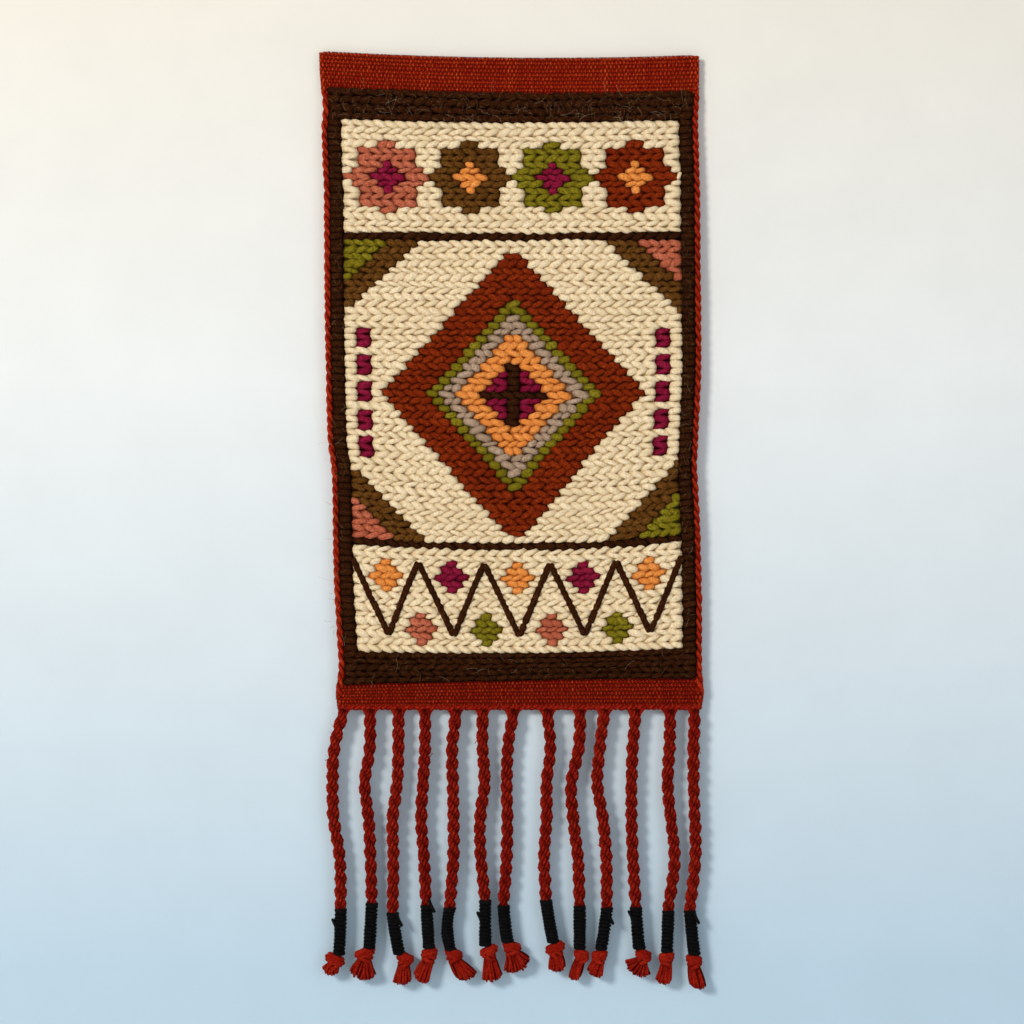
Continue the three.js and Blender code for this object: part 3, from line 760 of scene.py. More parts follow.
class Rows:
    """A band of worked rows between two levels, with the drift of the lines between its rows."""

    def __init__(self, from_down, to_down, count, seed, first_way, slope=1.0):
        self.rng = np.random.default_rng(seed)
        self.from_down, self.pitch, self.count = from_down, (to_down - from_down) / count, count
        self.first_way = first_way
        ease = np.ones(count + 1)
        ease[[0, -1]] = 0.3
        self.step = self.rng.uniform(-0.5, 0.5, count + 1) * ease
        self.phase = self.rng.uniform(0, TWO_PI, (count + 1, 2))
        self.ease = ease
        self.slant = self.rng.uniform(0.75, 1.15, count) * slope
        self.proud = self.rng.uniform(-0.3, 0.25, count)

    def line(self, number, x):
        """How far down the line above row "number" lies at x."""
        waves = zip(DRIFT_WAVES, self.phase[number])
        drift = sum(high * np.sin(x / long + phase) for (high, long), phase in waves)
        return self.from_down + number * self.pitch + self.step[number] + drift * self.ease[number]

    def run(self, row, x0, x1):
        """Stitches that fill one row from x0 to x1."""
        rng = self.rng
        count = max(1, round((x1 - x0) / (STITCH_PITCH * rng.uniform(0.93, 1.07))))
        pitch = (x1 - x0) / count
        way = self.first_way if row % 2 == 0 else -self.first_way
        single = count == 1 and x1 - x0 < SHORT_RUN
        stitches = []
        for number in range(count):
            start = x0 + pitch * number
            room = TUCK * pitch
            drift = rng.uniform(-0.8, 0.8)
            a = max(start - room + drift, x0 - OVER_END)
            b = min(start + pitch + room + drift, x1 + OVER_END)
            middle = (a + b) / 2
            above, below = self.line(row, middle), self.line(row + 1, middle)
            thick = (below - above) * rng.uniform(0.93, 1.14)
            rise = way * thick * SLANT * self.slant[row] * rng.uniform(0.85, 1.15)
            at_end = number in (0, count - 1)
            kind = STITCH_KINDS["alone" if single else "at the end" if at_end else "inside"]
            stitches.append({
                "x0": a, "x1": b, "down": (above + below) / 2 + rng.uniform(-0.2, 0.2),
                "rise": rise * kind["slant"], "wide": thick * kind["wide"],
                "high": STITCH_HIGH * rng.uniform(0.92, 1.06),
                "out": SURFACE_OUT + self.proud[row] + rng.uniform(-0.2, 0.2),
                "lean": 0.4 * rng.uniform(0.2, 1.4), "dive": kind["dive"], "blunt": kind["blunt"],
            })
        return stitches


# %% [markdown]
# ## The dark frame
# The frame's top and foot are rows of the same stitches. Its two sides are short wraps straight
# across the bar, one for each row of the field.

# %% Frame rows and side wraps
WRAP_TUCK = (0.7, 1.6)
WRAP_WIDE, WRAP_HIGH, WRAP_DIVE, WRAP_BLUNT = (0.5, 0.57), 2.3, 1.7, 4.5
CORE_STEP, CORE_WIDE, CORE_FLAT = 10.0, 0.55, 0.32


def bar_left(down):
    return left_edge(down) + FRAME_INSET


def bar_right(down):
    return right_edge(down) - FRAME_INSET


def full_rows(rows, seed):
    stitches, runs = [], []
    for row in range(rows.count):
        level = rows.from_down + (row + 0.5) * rows.pitch
        start = bar_left(level) + rows.rng.uniform(-0.9, 0.3)
        end = bar_right(level) - rows.rng.uniform(-0.9, 0.3)
        stitches += rows.run(row, start, end)
        runs.append((rows, row, start, end))
    return together([lay(stitches, seed), padding(runs)])


def side_wraps(start_of, rows, seed):
    rng = np.random.default_rng(seed)
    stitches = []
    for row in range(rows.count):
        level = rows.from_down + (row + 0.5) * rows.pitch + rng.uniform(-0.3, 0.3)
        start = start_of(level)
        stitches.append({
            "x0": start - rng.uniform(*WRAP_TUCK), "x1": start + FRAME_WIDE + rng.uniform(*WRAP_TUCK),
            "down": level, "rise": rng.uniform(-0.7, 0.7), "wide": ROW_PITCH * rng.uniform(*WRAP_WIDE),
            "high": WRAP_HIGH * rng.uniform(0.9, 1.08),
            "out": SURFACE_OUT - 0.15 + rng.uniform(-0.2, 0.2),
            "lean": rng.uniform(-0.2, 0.2), "dive": WRAP_DIVE, "blunt": WRAP_BLUNT,
        })
    down = np.arange(rows.from_down + 2, rows.from_down + rows.count * rows.pitch, CORE_STEP)[None]
    path = hang(start_of(down) + FRAME_WIDE / 2, down, PADDING_OUT)
    core = yarn(path, FRAME_WIDE * CORE_WIDE, 6, flat=CORE_FLAT, seed=seed)
    # Painted shade: the core lies deep under the wraps and takes mostly the pit colour.
    core["depth"] *= PADDING_DEPTH
    return together([lay(stitches, seed), core])


FRAME_SLOPE = 0.7
top_rows = Rows(FRAME_TOP, FIELD_TOP, TOP_ROWS, 31, 1, FRAME_SLOPE)
foot_rows = Rows(FIELD_FOOT, FRAME_FOOT, FOOT_ROWS, 32, -1, FRAME_SLOPE)
field_rows = Rows(FIELD_TOP, FIELD_FOOT, FIELD_ROWS, 33, 1)
bars = [
    ("frame_top", "rows", full_rows(top_rows, 41)),
    ("frame_foot", "rows", full_rows(foot_rows, 42)),
    ("frame_left", "wraps", side_wraps(bar_left, field_rows, 43)),
    ("frame_right", "wraps", side_wraps(lambda down: bar_right(down) - FRAME_WIDE, field_rows, 44)),
]
for bar, work, stitched in bars:
    piece(f"{bar}_{work}", stitched, WOOLS["dark"], [bar])

# %% [markdown]
# ## The design of the field
# A weaver counts a design in rows. This one is a plain geometric sampler in three registers, parted
# by thin dark lines: eight-pointed stars, one large stepped diamond, and a zigzag with small
# diamonds. A colour is asked for at a place along a row, so the slanting outlines become steps by
# themselves, and each run of one colour is then filled with whole stitches.

# %% Colours by row
HALF_FIELD = 135.0
STARS = [
    (-99, "salmon", "magenta"),
    (-33, "brown", "orange"),
    (33, "olive", "magenta"),
    (99, "rust", "orange"),
]
STAR_ROW, STAR_HEART, STAR_SQUARE, STAR_POINTS = 8, 2.6, 4.3, 6.4
DIVIDERS = (17, 62)
DIAMOND_ROW, DIAMOND_ROWS, DIAMOND_HALF, CROSS_HALF = 40, 21.4, 106.0, 5
DIAMOND_RINGS = [(1.0, "rust"), (0.66, "olive"), (0.575, "taupe"), (0.44, "orange"), (0.25, "magenta")]
CORNER_WIDE, CORNER_ROWS, CORNER_HEART, CORNER_EDGE = 62.0, 11.0, 0.55, 0.95
BLOCK_AT, BLOCK_HALF, BLOCK_ROWS, BLOCK_REPEAT = 120.0, 6.0, 9, 4
ZIGZAG_TOP, ZIGZAG_FOOT, ZIGZAG_STEP = 65.2, 76.4, 54.0
SMALL_HIGH, SMALL_LOW, SMALL_HALF = ZIGZAG_TOP + 1.8, ZIGZAG_FOOT - 1.4, 2.7
SMALL_COLOURS = ("orange", "salmon", "magenta", "olive")


def star_colour(across, row, colours):
    wide, high = abs(across) / ROW_PITCH, abs(row - STAR_ROW)
    if wide + high <= STAR_HEART:
        return colours[1]
    if max(wide, high) <= STAR_SQUARE or wide + high <= STAR_POINTS:
        return colours[0]
    return "cream"


def diamond_colour(s, row):
    reach = abs(s) / DIAMOND_HALF + abs(row - DIAMOND_ROW) / DIAMOND_ROWS
    found = "cream"
    for size, colour in DIAMOND_RINGS:
        if reach <= size:
            found = colour
    if found == "magenta" and (abs(s) < CROSS_HALF or row == DIAMOND_ROW):
        return "dark"
    return found


def middle_colour(s, row):
    from_side = HALF_FIELD - abs(s)
    from_end = min(row - DIVIDERS[0] - 1, DIVIDERS[1] - 1 - row)
    corner = from_side / CORNER_WIDE + from_end / CORNER_ROWS
    if corner <= CORNER_HEART:
        return "salmon" if s * (row - DIAMOND_ROW) < 0 else "olive"
    if corner <= CORNER_EDGE:
        return "brown"
    if abs(abs(s) - BLOCK_AT) <= BLOCK_HALF and abs(row - DIAMOND_ROW) <= BLOCK_ROWS:
        return "cream" if (row - DIAMOND_ROW) % BLOCK_REPEAT == BLOCK_REPEAT // 2 else "magenta"
    return diamond_colour(s, row)


def low_colour(s, row):
    """A small diamond in each hollow of the zigzag, high and low by turns."""
    cell = round(s / (ZIGZAG_STEP / 2))
    across = abs(s - cell * ZIGZAG_STEP / 2) / ROW_PITCH
    level = SMALL_HIGH if cell % 2 == 0 else SMALL_LOW
    if abs(cell) < 5 and across + abs(row - level) <= SMALL_HALF:
        return SMALL_COLOURS[cell % len(SMALL_COLOURS)]
    return "cream"


def colour_at(s, row):
    if row in DIVIDERS:
        return "dark"
    if row < DIVIDERS[0]:
        centre, *colours = min(STARS, key=lambda star: abs(s - star[0]))
        return star_colour(s - centre, row, colours)
    if row < DIVIDERS[1]:
        return middle_colour(s, row)
    return low_colour(s, row)


# %% Colour runs filled with stitches
SAMPLE = 1.0
SHORTEST = 4.5


def colour_runs(row):
    """The runs (start, end, colour) of one row, from side to side of the field."""
    runs = []
    for s in np.arange(-HALF_FIELD + SAMPLE / 2, HALF_FIELD, SAMPLE):
        colour = colour_at(s, row)
        if runs and runs[-1][2] == colour:
            runs[-1][1] = s + SAMPLE / 2
        elif runs and runs[-1][1] - runs[-1][0] < SHORTEST:
            runs[-1][1:] = [s + SAMPLE / 2, colour]
        else:
            runs.append([s - SAMPLE / 2, s + SAMPLE / 2, colour])
    return runs


def place_across(s, down):
    left = bar_left(down) + FRAME_WIDE + PIECE_GAP
    right = bar_right(down) - FRAME_WIDE - PIECE_GAP
    return blend(left, right, (s + HALF_FIELD) / (2 * HALF_FIELD))


def field_stitches():
    """For each wool and register, its stitches and its runs."""
    lots = {}
    for row in range(FIELD_ROWS):
        level = field_rows.from_down + (row + 0.5) * field_rows.pitch
        for start, end, colour in colour_runs(row):
            register = "top" if row < DIVIDERS[0] else "middle" if row < DIVIDERS[1] else "low"
            key = (colour, register) if colour == "cream" else (colour, "")
            x0, x1 = place_across(start, level), place_across(end, level)
            stitches, runs = lots.setdefault(key, ([], []))
            stitches += field_rows.run(row, x0, x1)
            runs.append((field_rows, row, x0, x1))
    return lots


total = 0
for number, ((colour, register), (stitches, runs)) in enumerate(sorted(field_stitches().items())):
    name = f"{colour}_stitches" + (f"_{register}" if register else "")
    stands_for = ["yarn_field"] if (colour, register) == ("cream", "middle") else []
    worked = together([lay(stitches, 50 + number), padding(runs)])
    piece(name, worked, WOOLS[colour], stands_for)
    total += len(stitches)
print("field stitches:", total)

# %% [markdown]
# ## The zigzag line
# A thin line of chain stitches is worked over the rows, down and up again along a zigzag. It lies on
# top of them, so it casts its own small shadow.

# %% Zigzag line
LINE_PITCH, LINE_OVERLAP = 5.4, 0.25
LINE_WIDE, LINE_HIGH, LINE_PROUD = 2.5, 1.9, 1.9


def zigzag():
    rng = np.random.default_rng(71)
    stitches = []
    step = ZIGZAG_STEP / 2
    top = field_rows.from_down + ZIGZAG_TOP * field_rows.pitch
    foot = field_rows.from_down + ZIGZAG_FOOT * field_rows.pitch
    in_leg = round(math.hypot(step, foot - top) / LINE_PITCH)
    for leg in range(int(HALF_FIELD * 2 / step)):
        start, end = -HALF_FIELD + leg * step, -HALF_FIELD + (leg + 1) * step
        ups = (top, foot) if leg % 2 == 0 else (foot, top)
        for number in range(in_leg):
            a = max((number - LINE_OVERLAP) / in_leg, 0.0)
            b = min((number + 1 + LINE_OVERLAP) / in_leg, 1.0)
            middle = blend(*ups, (a + b) / 2)
            stitches.append({
                "x0": place_across(blend(start, end, a), middle),
                "x1": place_across(blend(start, end, b), middle),
                "down": middle, "rise": (blend(*ups, b) - blend(*ups, a)) / 2,
                "wide": LINE_WIDE * rng.uniform(0.9, 1.1), "high": LINE_HIGH,
                "out": SURFACE_OUT + LINE_PROUD,
                "lean": rng.uniform(-0.2, 0.5), "dive": 1.2, "blunt": 2.8,
            })
    return stitches


piece("zigzag_line", lay(zigzag(), 72), WOOLS["dark"])

# %% [markdown]
# ## Where the warp gathers into the cords
# Under the foot band two threads twine across the warp and lock it. Below them the warp ends of each
# section swing together and run into one cord, which leaves a round arch between two cords.

# %% Twined row and gathered warp ends
CORDS = {
    "root": [-131, -110.5, -88, -67, -42, -21.5, 3, 29, 55.5, 75, 99.5, 126.5, 146],
    "atA": [-138.5, -110.5, -88, -67, -45.5, -21.5, -1.5, 32, 54.5, 71, 97, 126, 145],
    "atB": [-140, -114.5, -89, -68.5, -45, -20, -2.5, 29, 48.5, 69, 96, 124.5, 145],
    "atC": [-139, -111.5, -92.5, -70, -44.5, -23.5, -2, 29, 50, 73.5, 96, 127, 146],
    "atD": [-134.5, -110, -92, -68, -44.5, -23, -2.5, 27, 53.5, 76, 97, 130, 146.5],
}
CORD_DOWN = {"root": 514.5, "atA": 544.5, "atB": 573, "atC": 601, "atD": 629.5}
WRAPS = {
    "top": [-133.5, -109, -92.5, -66, -47.5, -19.5, -5, 28.5, 55, 76.5, 99.5, 125, 142],
    "middle": [-134, -110, -90.5, -65, -49.5, -19.5, -4, 31, 55, 74.5, 100.5, 124.5, 143.5],
    "foot": [-135, -111, -87.5, -64, -47, -19.5, -2, 34, 55, 72, 102, 124, 145.5],
    "from": [671.5, 667, 674.5, 668.5, 670.5, 664.5, 668.5, 664.5, 669, 670.5, 670, 672.5, 672.5],
    "to": [708.5, 703.5, 708, 703, 705, 701.5, 698.5, 699, 703.5, 704, 704, 706, 708.5],
    "knob": [-1, 0, 1, 1, 0, -1, 0, 0, 0, 1, -1, 0, 1],
    "knob_at": [681, 0, 684, 673, 0, 675.5, 0, 0, 0, 682.5, 674.5, 0, 682],
}
CORD_Y = -5.3
CORD_COUNT = len(CORDS["root"])
CORD_FROM = 515.0
TWINE_STEP, TWINE_TURN, TWINE_RADIUS, TWINE_MIDDLE = 0.85, 8.4, 1.4, 2.1
GATHER_FROM, GATHER_TO, GATHER_RINGS = 510.2, 522.0, 9
GATHER_RADIUS, GATHER_LAYER, GATHER_SPREAD = 0.95, 2.0, 2.9
ARCH_HALF = 12.5


def soft_curve(downs, xs, down):
    """A smooth curve through a few levels, with the slopes of a loose thread."""
    downs, xs = np.asarray(downs, float), np.asarray(xs, float)
    slope = np.gradient(xs, downs)
    cell = np.clip(np.searchsorted(downs, down) - 1, 0, len(downs) - 2)
    span = downs[cell + 1] - downs[cell]
    t = (down - downs[cell]) / span
    a, b = xs[cell], xs[cell + 1]
    bend_in, bend_out = slope[cell] * span, slope[cell + 1] * span
    return ((2 * t**3 - 3 * t**2 + 1) * a + (t**3 - 2 * t**2 + t) * bend_in
            + (3 * t**2 - 2 * t**3) * b + (t**3 - t**2) * bend_out)


def cord_centre(number, down):
    """The x of a cord's own line at a distance down."""
    downs = [*CORD_DOWN.values(), WRAPS["from"][number]]
    xs = [*(CORDS[level][number] for level in CORD_DOWN), WRAPS["top"][number]]
    return soft_curve(downs, xs, down)


def twined_row():
    rng = np.random.default_rng(81)
    x = np.arange(left_edge(TWINE_DOWN) + 0.6, right_edge(TWINE_DOWN) - 0.6, TWINE_STEP)
    turns = TWO_PI * x / TWINE_TURN + wander(rng, x.shape, 30, 0.8)
    strands = []
    for half in (0, math.pi):
        down = TWINE_DOWN + 1.0 * np.cos(turns + half) + wander(rng, x.shape, 20, 0.3)
        strands.append(hang(x, down, TWINE_MIDDLE + 0.95 * np.sin(turns + half)))
    radius = TWINE_RADIUS * (1 + wander(rng, (2, len(x)), 50, 0.2))
    twist = yarn(np.stack(strands), radius, 7, spin=SPIN, seed=81)
    # Painted shade: the two strands are deeper in colour where they turn in between each other.
    return with_depth(twist, np.abs(out_of_cloth(twist) - TWINE_MIDDLE), 0.1, 1.6)


def gathered_warps():
    rng = np.random.default_rng(82)
    roots = np.array(CORDS["root"], float)
    start = warp_place(np.arange(WARP_ENDS), GATHER_FROM)
    nearest = np.abs(start[:, None] - roots).argmin(1)
    root = roots[nearest]
    far = np.clip(np.abs(start - root) / ARCH_HALF, 0, 1)
    t = np.linspace(0, 1, GATHER_RINGS)[None]
    swing = t * t * (3 - 2 * t)
    lower = np.array([cord_centre(number, GATHER_TO) for number in range(CORD_COUNT)])[nearest]
    end = lower + np.clip((start - root) * 0.3, -GATHER_SPREAD, GATHER_SPREAD)
    x = blend(start[:, None], end[:, None], swing) + wander(rng, (WARP_ENDS, GATHER_RINGS), 3, 0.35)
    down = GATHER_FROM + (GATHER_TO - GATHER_FROM) * t ** (1 + far[:, None])
    layer = rng.uniform(-GATHER_LAYER, GATHER_LAYER, (WARP_ENDS, 1))
    middle = blend(1.4, -CORD_Y - 1.6, swing)
    radius = GATHER_RADIUS * (1 + wander(rng, (WARP_ENDS, GATHER_RINGS), 3, 0.2))
    ends = yarn(hang(x, down, middle + layer * swing), radius, 5, spin=SPIN, seed=82)
    # Painted shade: the warp ends are deeper in colour the further back they lie, towards the wall.
    return with_depth(ends, out_of_cloth(ends), 0.9, 4.0)


piece("twined_row", twined_row(), CORD, ["fringe"])
piece("gathered_warps", gathered_warps(), CORD)

# %% [markdown]
# ## The twisted cords
# Each cord is two plies laid round each other, one turn in about 21 mm, and each ply is five strands of
# the rust yarn round a sixth, with the twist the other way, which is what keeps a cord from opening.
# All strands are swept along the cord's own line, a smooth curve through the five levels of the
# table, and are drawn together where the cord goes into its whipping. A few short stray fibres stand
# off each cord.

# %% Cords
CORD_TURN, COUNTER_TWIST = 20.8, -1.15
PLY_OFFSET, PLY_RADIUS, PLY_STRANDS = 1.75, 2.25, 5
STRAND_RADIUS, CORE_RADIUS = 1.38, 1.8
CORD_STEP, CORD_SIDES, CORD_FLAT = 1.8, 5, 0.8
STRAND_CREASE, STRAND_RISE = 1.6, 1.3
PLY_CREASE, PLY_RISE = 2.4, 1.9
STRAYS, STRAY_RADIUS, LOOSE_END_RADIUS = 16, 0.13, 0.5


def cord(number):
    rng = np.random.default_rng(100 + number)
    down = np.arange(CORD_FROM, WRAPS["from"][number] + 3.0, CORD_STEP)
    centre = cord_centre(number, down)
    turn = TWO_PI * (down - CORD_DOWN["root"]) / CORD_TURN + wander(rng, down.shape, 7, 0.8)
    snug = np.interp(down, [CORD_FROM, 520, down[-1] - 7, down[-1] - 2], [0.75, 1.0, 1.0, 0.84])
    paths, radii, ply_lines = [], [], []
    for half in (0, math.pi):
        ply_x = centre + snug * PLY_OFFSET * np.cos(turn + half)
        ply_y = CORD_Y + snug * PLY_OFFSET * np.sin(turn + half) * CORD_FLAT
        for strand in range(PLY_STRANDS + 1):
            angle = COUNTER_TWIST * turn + TWO_PI * strand / PLY_STRANDS + half
            reach = snug * PLY_RADIUS * (1 + wander(rng, down.shape, 14, 0.15))
            thick = STRAND_RADIUS
            if strand == PLY_STRANDS:
                reach, thick = 0 * reach, CORE_RADIUS
            x, y = ply_x + reach * np.cos(angle), ply_y + reach * np.sin(angle) * 0.9
            paths.append(np.stack([x, y, -down], axis=-1))
            radii.append(thick * blend(0.5, 1.0, snug) * (1 + wander(rng, down.shape, 16, 0.17)))
            ply_lines.append(np.stack([ply_x, ply_y], axis=-1))
    twist = yarn(np.stack(paths), np.stack(radii), CORD_SIDES, spin=0.8, seed=100 + number)
    lines = np.stack(ply_lines)
    line_x, line_y = per_point(lines[:, :, 0], CORD_SIDES), per_point(lines[:, :, 1], CORD_SIDES)
    middle = per_point(np.broadcast_to(centre, lines.shape[:2]), CORD_SIDES)
    x, y = twist["points"][:, 0], twist["points"][:, 1]
    from_ply, from_axis = np.hypot(x - line_x, y - line_y), np.hypot(x - middle, y - CORD_Y)
    # Painted shade: the strands are deeper in colour in the creases within each ply, and deepest between
    # the two plies.
    between_strands = np.clip((from_ply - STRAND_CREASE) / STRAND_RISE, 0.25, 1)
    between_plies = np.clip((from_axis - PLY_CREASE) / PLY_RISE, 0, 1)
    twist["depth"] = between_strands * between_plies
    return twist


def strays(number):
    """Short fibres that stand off a cord at its sides, one of them a thicker loose end."""
    rng = np.random.default_rng(600 + number)
    down = rng.uniform(524, WRAPS["from"][number] - 6, (STRAYS, 1))
    t = np.linspace(0, 1, 4)[None]
    side = rng.choice([-1.0, 1.0], (STRAYS, 1))
    reach = 3.6 + rng.uniform(0.8, 3.2, (STRAYS, 1)) * t
    x = cord_centre(number, down) + side * reach
    y = CORD_Y + rng.uniform(-2.0, 1.0, (STRAYS, 1)) - rng.uniform(0, 1.0, (STRAYS, 1)) * t
    level = down + rng.uniform(-3.5, 3.5, (STRAYS, 1)) * t**1.5
    thick = np.where(np.arange(STRAYS) == 0, LOOSE_END_RADIUS, STRAY_RADIUS)
    radius = thick[:, None] * (1 - 0.4 * t)
    return yarn(np.stack([x, y + 0 * t, -level], -1), radius, 3, seed=600 + number)


for number in range(CORD_COUNT):
    piece(f"cord_{number + 1:02d}", together([cord(number), strays(number)]), CORD)

# %% [markdown]
# ## The whippings
# A charcoal thread is wound twelve to fourteen times round the end of each cord and pulled under
# itself, and on some cords its cut end stands out at the side. The coil is one thread on a bent axis,
# with a level turn at each end, over a plain core that keeps light from passing between the turns.

# %% Whippings
COIL_RADIUS, COIL_THREAD, COIL_PITCH = 3.8, 1.4, 2.75
COIL_SIDES, RINGS_A_TURN = 6, 14
CORE_RINGS, CORE_SIDES = 8, 8
END_THREAD = [1.2, 1.3, 1.35, 1.35, 1.35, 1.45, 1.2]


def wrap_axis(number, t):
    """The x of a whipping's axis, from 0 at its top to 1 at its foot."""
    top, middle, foot = (WRAPS[key][number] for key in ("top", "middle", "foot"))
    return top * (1 - t) * (1 - 2 * t) + middle * 4 * t * (1 - t) + foot * t * (2 * t - 1)


def whipping(number):
    rng = np.random.default_rng(200 + number)
    start, end = WRAPS["from"][number] + COIL_THREAD, WRAPS["to"][number] - COIL_THREAD
    turns = round((end - start) / COIL_PITCH) + 2
    t = np.linspace(0, 1, turns * RINGS_A_TURN)
    angle = TWO_PI * (turns * t + 0.25)
    swell = COIL_RADIUS * (1 + wander(rng, t.shape, 12, 0.08))
    t = np.interp(t * turns, [0, 1, turns - 1, turns], [0, 0, 1, 1])
    down = blend(start, end, t) + wander(rng, t.shape, 14, 0.45)
    x = wrap_axis(number, t) + swell * np.cos(angle)
    coil = np.stack([x, CORD_Y + swell * np.sin(angle), -down], -1)[None]
    shade = 0.5 + wander(rng, (1, len(t)), 13, 0.5)
    thread = yarn(coil, COIL_THREAD, COIL_SIDES, spin=0.8, seed=200 + number, toward=(0.0, 0.0, 1.0),
                  shade=shade)
    axis = per_point(wrap_axis(number, t)[None], COIL_SIDES)
    from_axis = np.hypot(thread["points"][:, 0] - axis, thread["points"][:, 1] - CORD_Y)
    # Painted shade: the thread is deeper in colour on its inner side, against the core.
    parts = [with_depth(thread, from_axis, COIL_RADIUS, COIL_RADIUS + COIL_THREAD)]
    s = np.linspace(0, 1, CORE_RINGS)
    core = np.stack([wrap_axis(number, s), np.full(CORE_RINGS, CORD_Y), -blend(start, end, s)], -1)
    parts.append(yarn(core[None], COIL_RADIUS, CORE_SIDES, seed=3, shade=0.2))
    # Painted shade: the core between the turns takes the pit colour all over.
    parts[-1]["depth"] *= 0
    if WRAPS["knob"][number]:
        parts.append(thread_end(number, WRAPS["knob"][number], WRAPS["knob_at"][number]))
    return together(parts)


def thread_end(number, side, down):
    """The cut end of the whipping thread, which leaves the coil slantwise and stands off it."""
    t = np.linspace(0, 1, len(END_THREAD))
    part = (down - WRAPS["from"][number]) / (WRAPS["to"][number] - WRAPS["from"][number])
    x = wrap_axis(number, part) + side * blend(2.2, 6.3, t**1.4)
    y = CORD_Y - blend(3.9, 2.4, t)
    fall = blend(-9.0, 1.0, t) if side > 0 else blend(9.0, -1.5, t)
    return yarn(np.stack([x, y, -(down + fall)], -1)[None], [END_THREAD], 7, seed=4)


for number in range(CORD_COUNT):
    name = f"{number + 1:02d}"
    piece(f"whipping_{name}", whipping(number), THREAD, [f"wrap_{name}"])

# %% [markdown]
# ## Knots and tufts
# Below its whipping every cord is tied in one overhand knot, and the yarn ends left over spread like
# a brush. The knot is two fat bands of yarn that cross, wound over a small core. The ends fan out
# from its middle, between the two outermost tips that the table gives and along a round arc. They
# lie in four layers, each a little uneven in length.

# %% Knots and tufts
TUFTS = {
    "knot": [-139, -114, -83.5, -63, -45, -16, 1, 36.5, 55.5, 71, 104.5, 124, 144.5],
    "at": [713.5, 708, 712, 708.5, 708.5, 706.5, 703, 704.5, 709.5, 709.5, 709.5, 711, 713.5],
    "wide": [8.7, 9.1, 7.9, 7.1, 7.9, 7.9, 7.9, 8.7, 6.7, 7.1, 7.1, 6.7, 7.1],
    "high": [6.3, 5.5, 5.9, 6.3, 5.5, 5.5, 5.5, 6.3, 6.3, 5.5, 6.3, 5.5, 6.3],
    "left": [-147.5, -126.5, -91.5, -75, -41, -21.5, -4, 31.5, 47, 61.5, 91.5, 115.5, 142],
    "left_at": [718, 720.5, 729, 723, 727, 727, 720.5, 719, 725, 719.5, 712.5, 727.5, 731],
    "right": [-136.5, -106, -78, -65, -27, -6.5, 16, 43.5, 54.5, 72.5, 110, 127, 154],
    "right_at": [723, 724.5, 727.5, 730, 722, 723.5, 711, 718, 726, 725, 723.5, 729, 732.5],
}
KNOT_DEEP, KNOT_STRAND, KNOT_RINGS = 5.2, 1.75, 24
TUFT_ENDS, TUFT_RINGS, TUFT_RADIUS = 34, 7, 1.02
TUFT_LAYERS = (-2.4, 0.3, 1.8, -0.9)


def knot_band(centre, size, tilt, shift, rounds, seed):
    """Turns of yarn side by side, tilted to one side, each a fat strand."""
    rng = np.random.default_rng(seed)
    angle = np.linspace(0, TWO_PI * 1.06, KNOT_RINGS)[None]
    lane = np.linspace(-1, 1, rounds)[:, None]
    uneven = 1 + wander(rng, (rounds, KNOT_RINGS), 6, 0.06)
    swell = np.sqrt(np.clip(1 - (0.55 * lane) ** 2, 0, 1)) * uneven
    x = size[0] * swell * np.cos(angle)
    y = size[1] * swell * np.sin(angle)
    z = lane * size[2] + shift + wander(rng, (rounds, KNOT_RINGS), 5, 0.3)
    turned_x = x * math.cos(tilt) - z * math.sin(tilt)
    turned_z = x * math.sin(tilt) + z * math.cos(tilt)
    path = np.stack([centre[0] + turned_x, centre[1] + y, centre[2] + turned_z], -1)
    return yarn(path, KNOT_STRAND, 7, spin=0.7, seed=seed, toward=(0.0, 0.0, 1.0))


def knot(number):
    rng = np.random.default_rng(300 + number)
    wide, high = TUFTS["wide"][number] - KNOT_STRAND, TUFTS["high"][number]
    centre = np.array([TUFTS["knot"][number], CORD_Y, -TUFTS["at"][number]])
    lean = math.radians(rng.uniform(14, 30)) * (1 if number % 2 else -1)
    size = np.array([wide, KNOT_DEEP - KNOT_STRAND, high * 0.36])
    upper = knot_band(centre, size, lean, high * 0.3, 3, 310 + number)
    lower = knot_band(centre, size * 0.88, -lean * 1.3, -high * 0.35, 2, 330 + number)
    s = np.linspace(-1, 1, 7)
    core = np.stack([centre[0] + 0 * s, centre[1] + 0 * s, centre[2] - s * high * 0.8], -1)[None]
    girth = wide * 0.74 * np.sqrt(np.clip(1.08 - s * s, 0, 1))
    body = yarn(core, girth, 8, seed=5, flat=0.62, shade=0.3)
    # Painted shade: the core inside the knot's bands takes mostly the pit colour.
    body["depth"] *= 0.1
    return together([upper, lower, body])


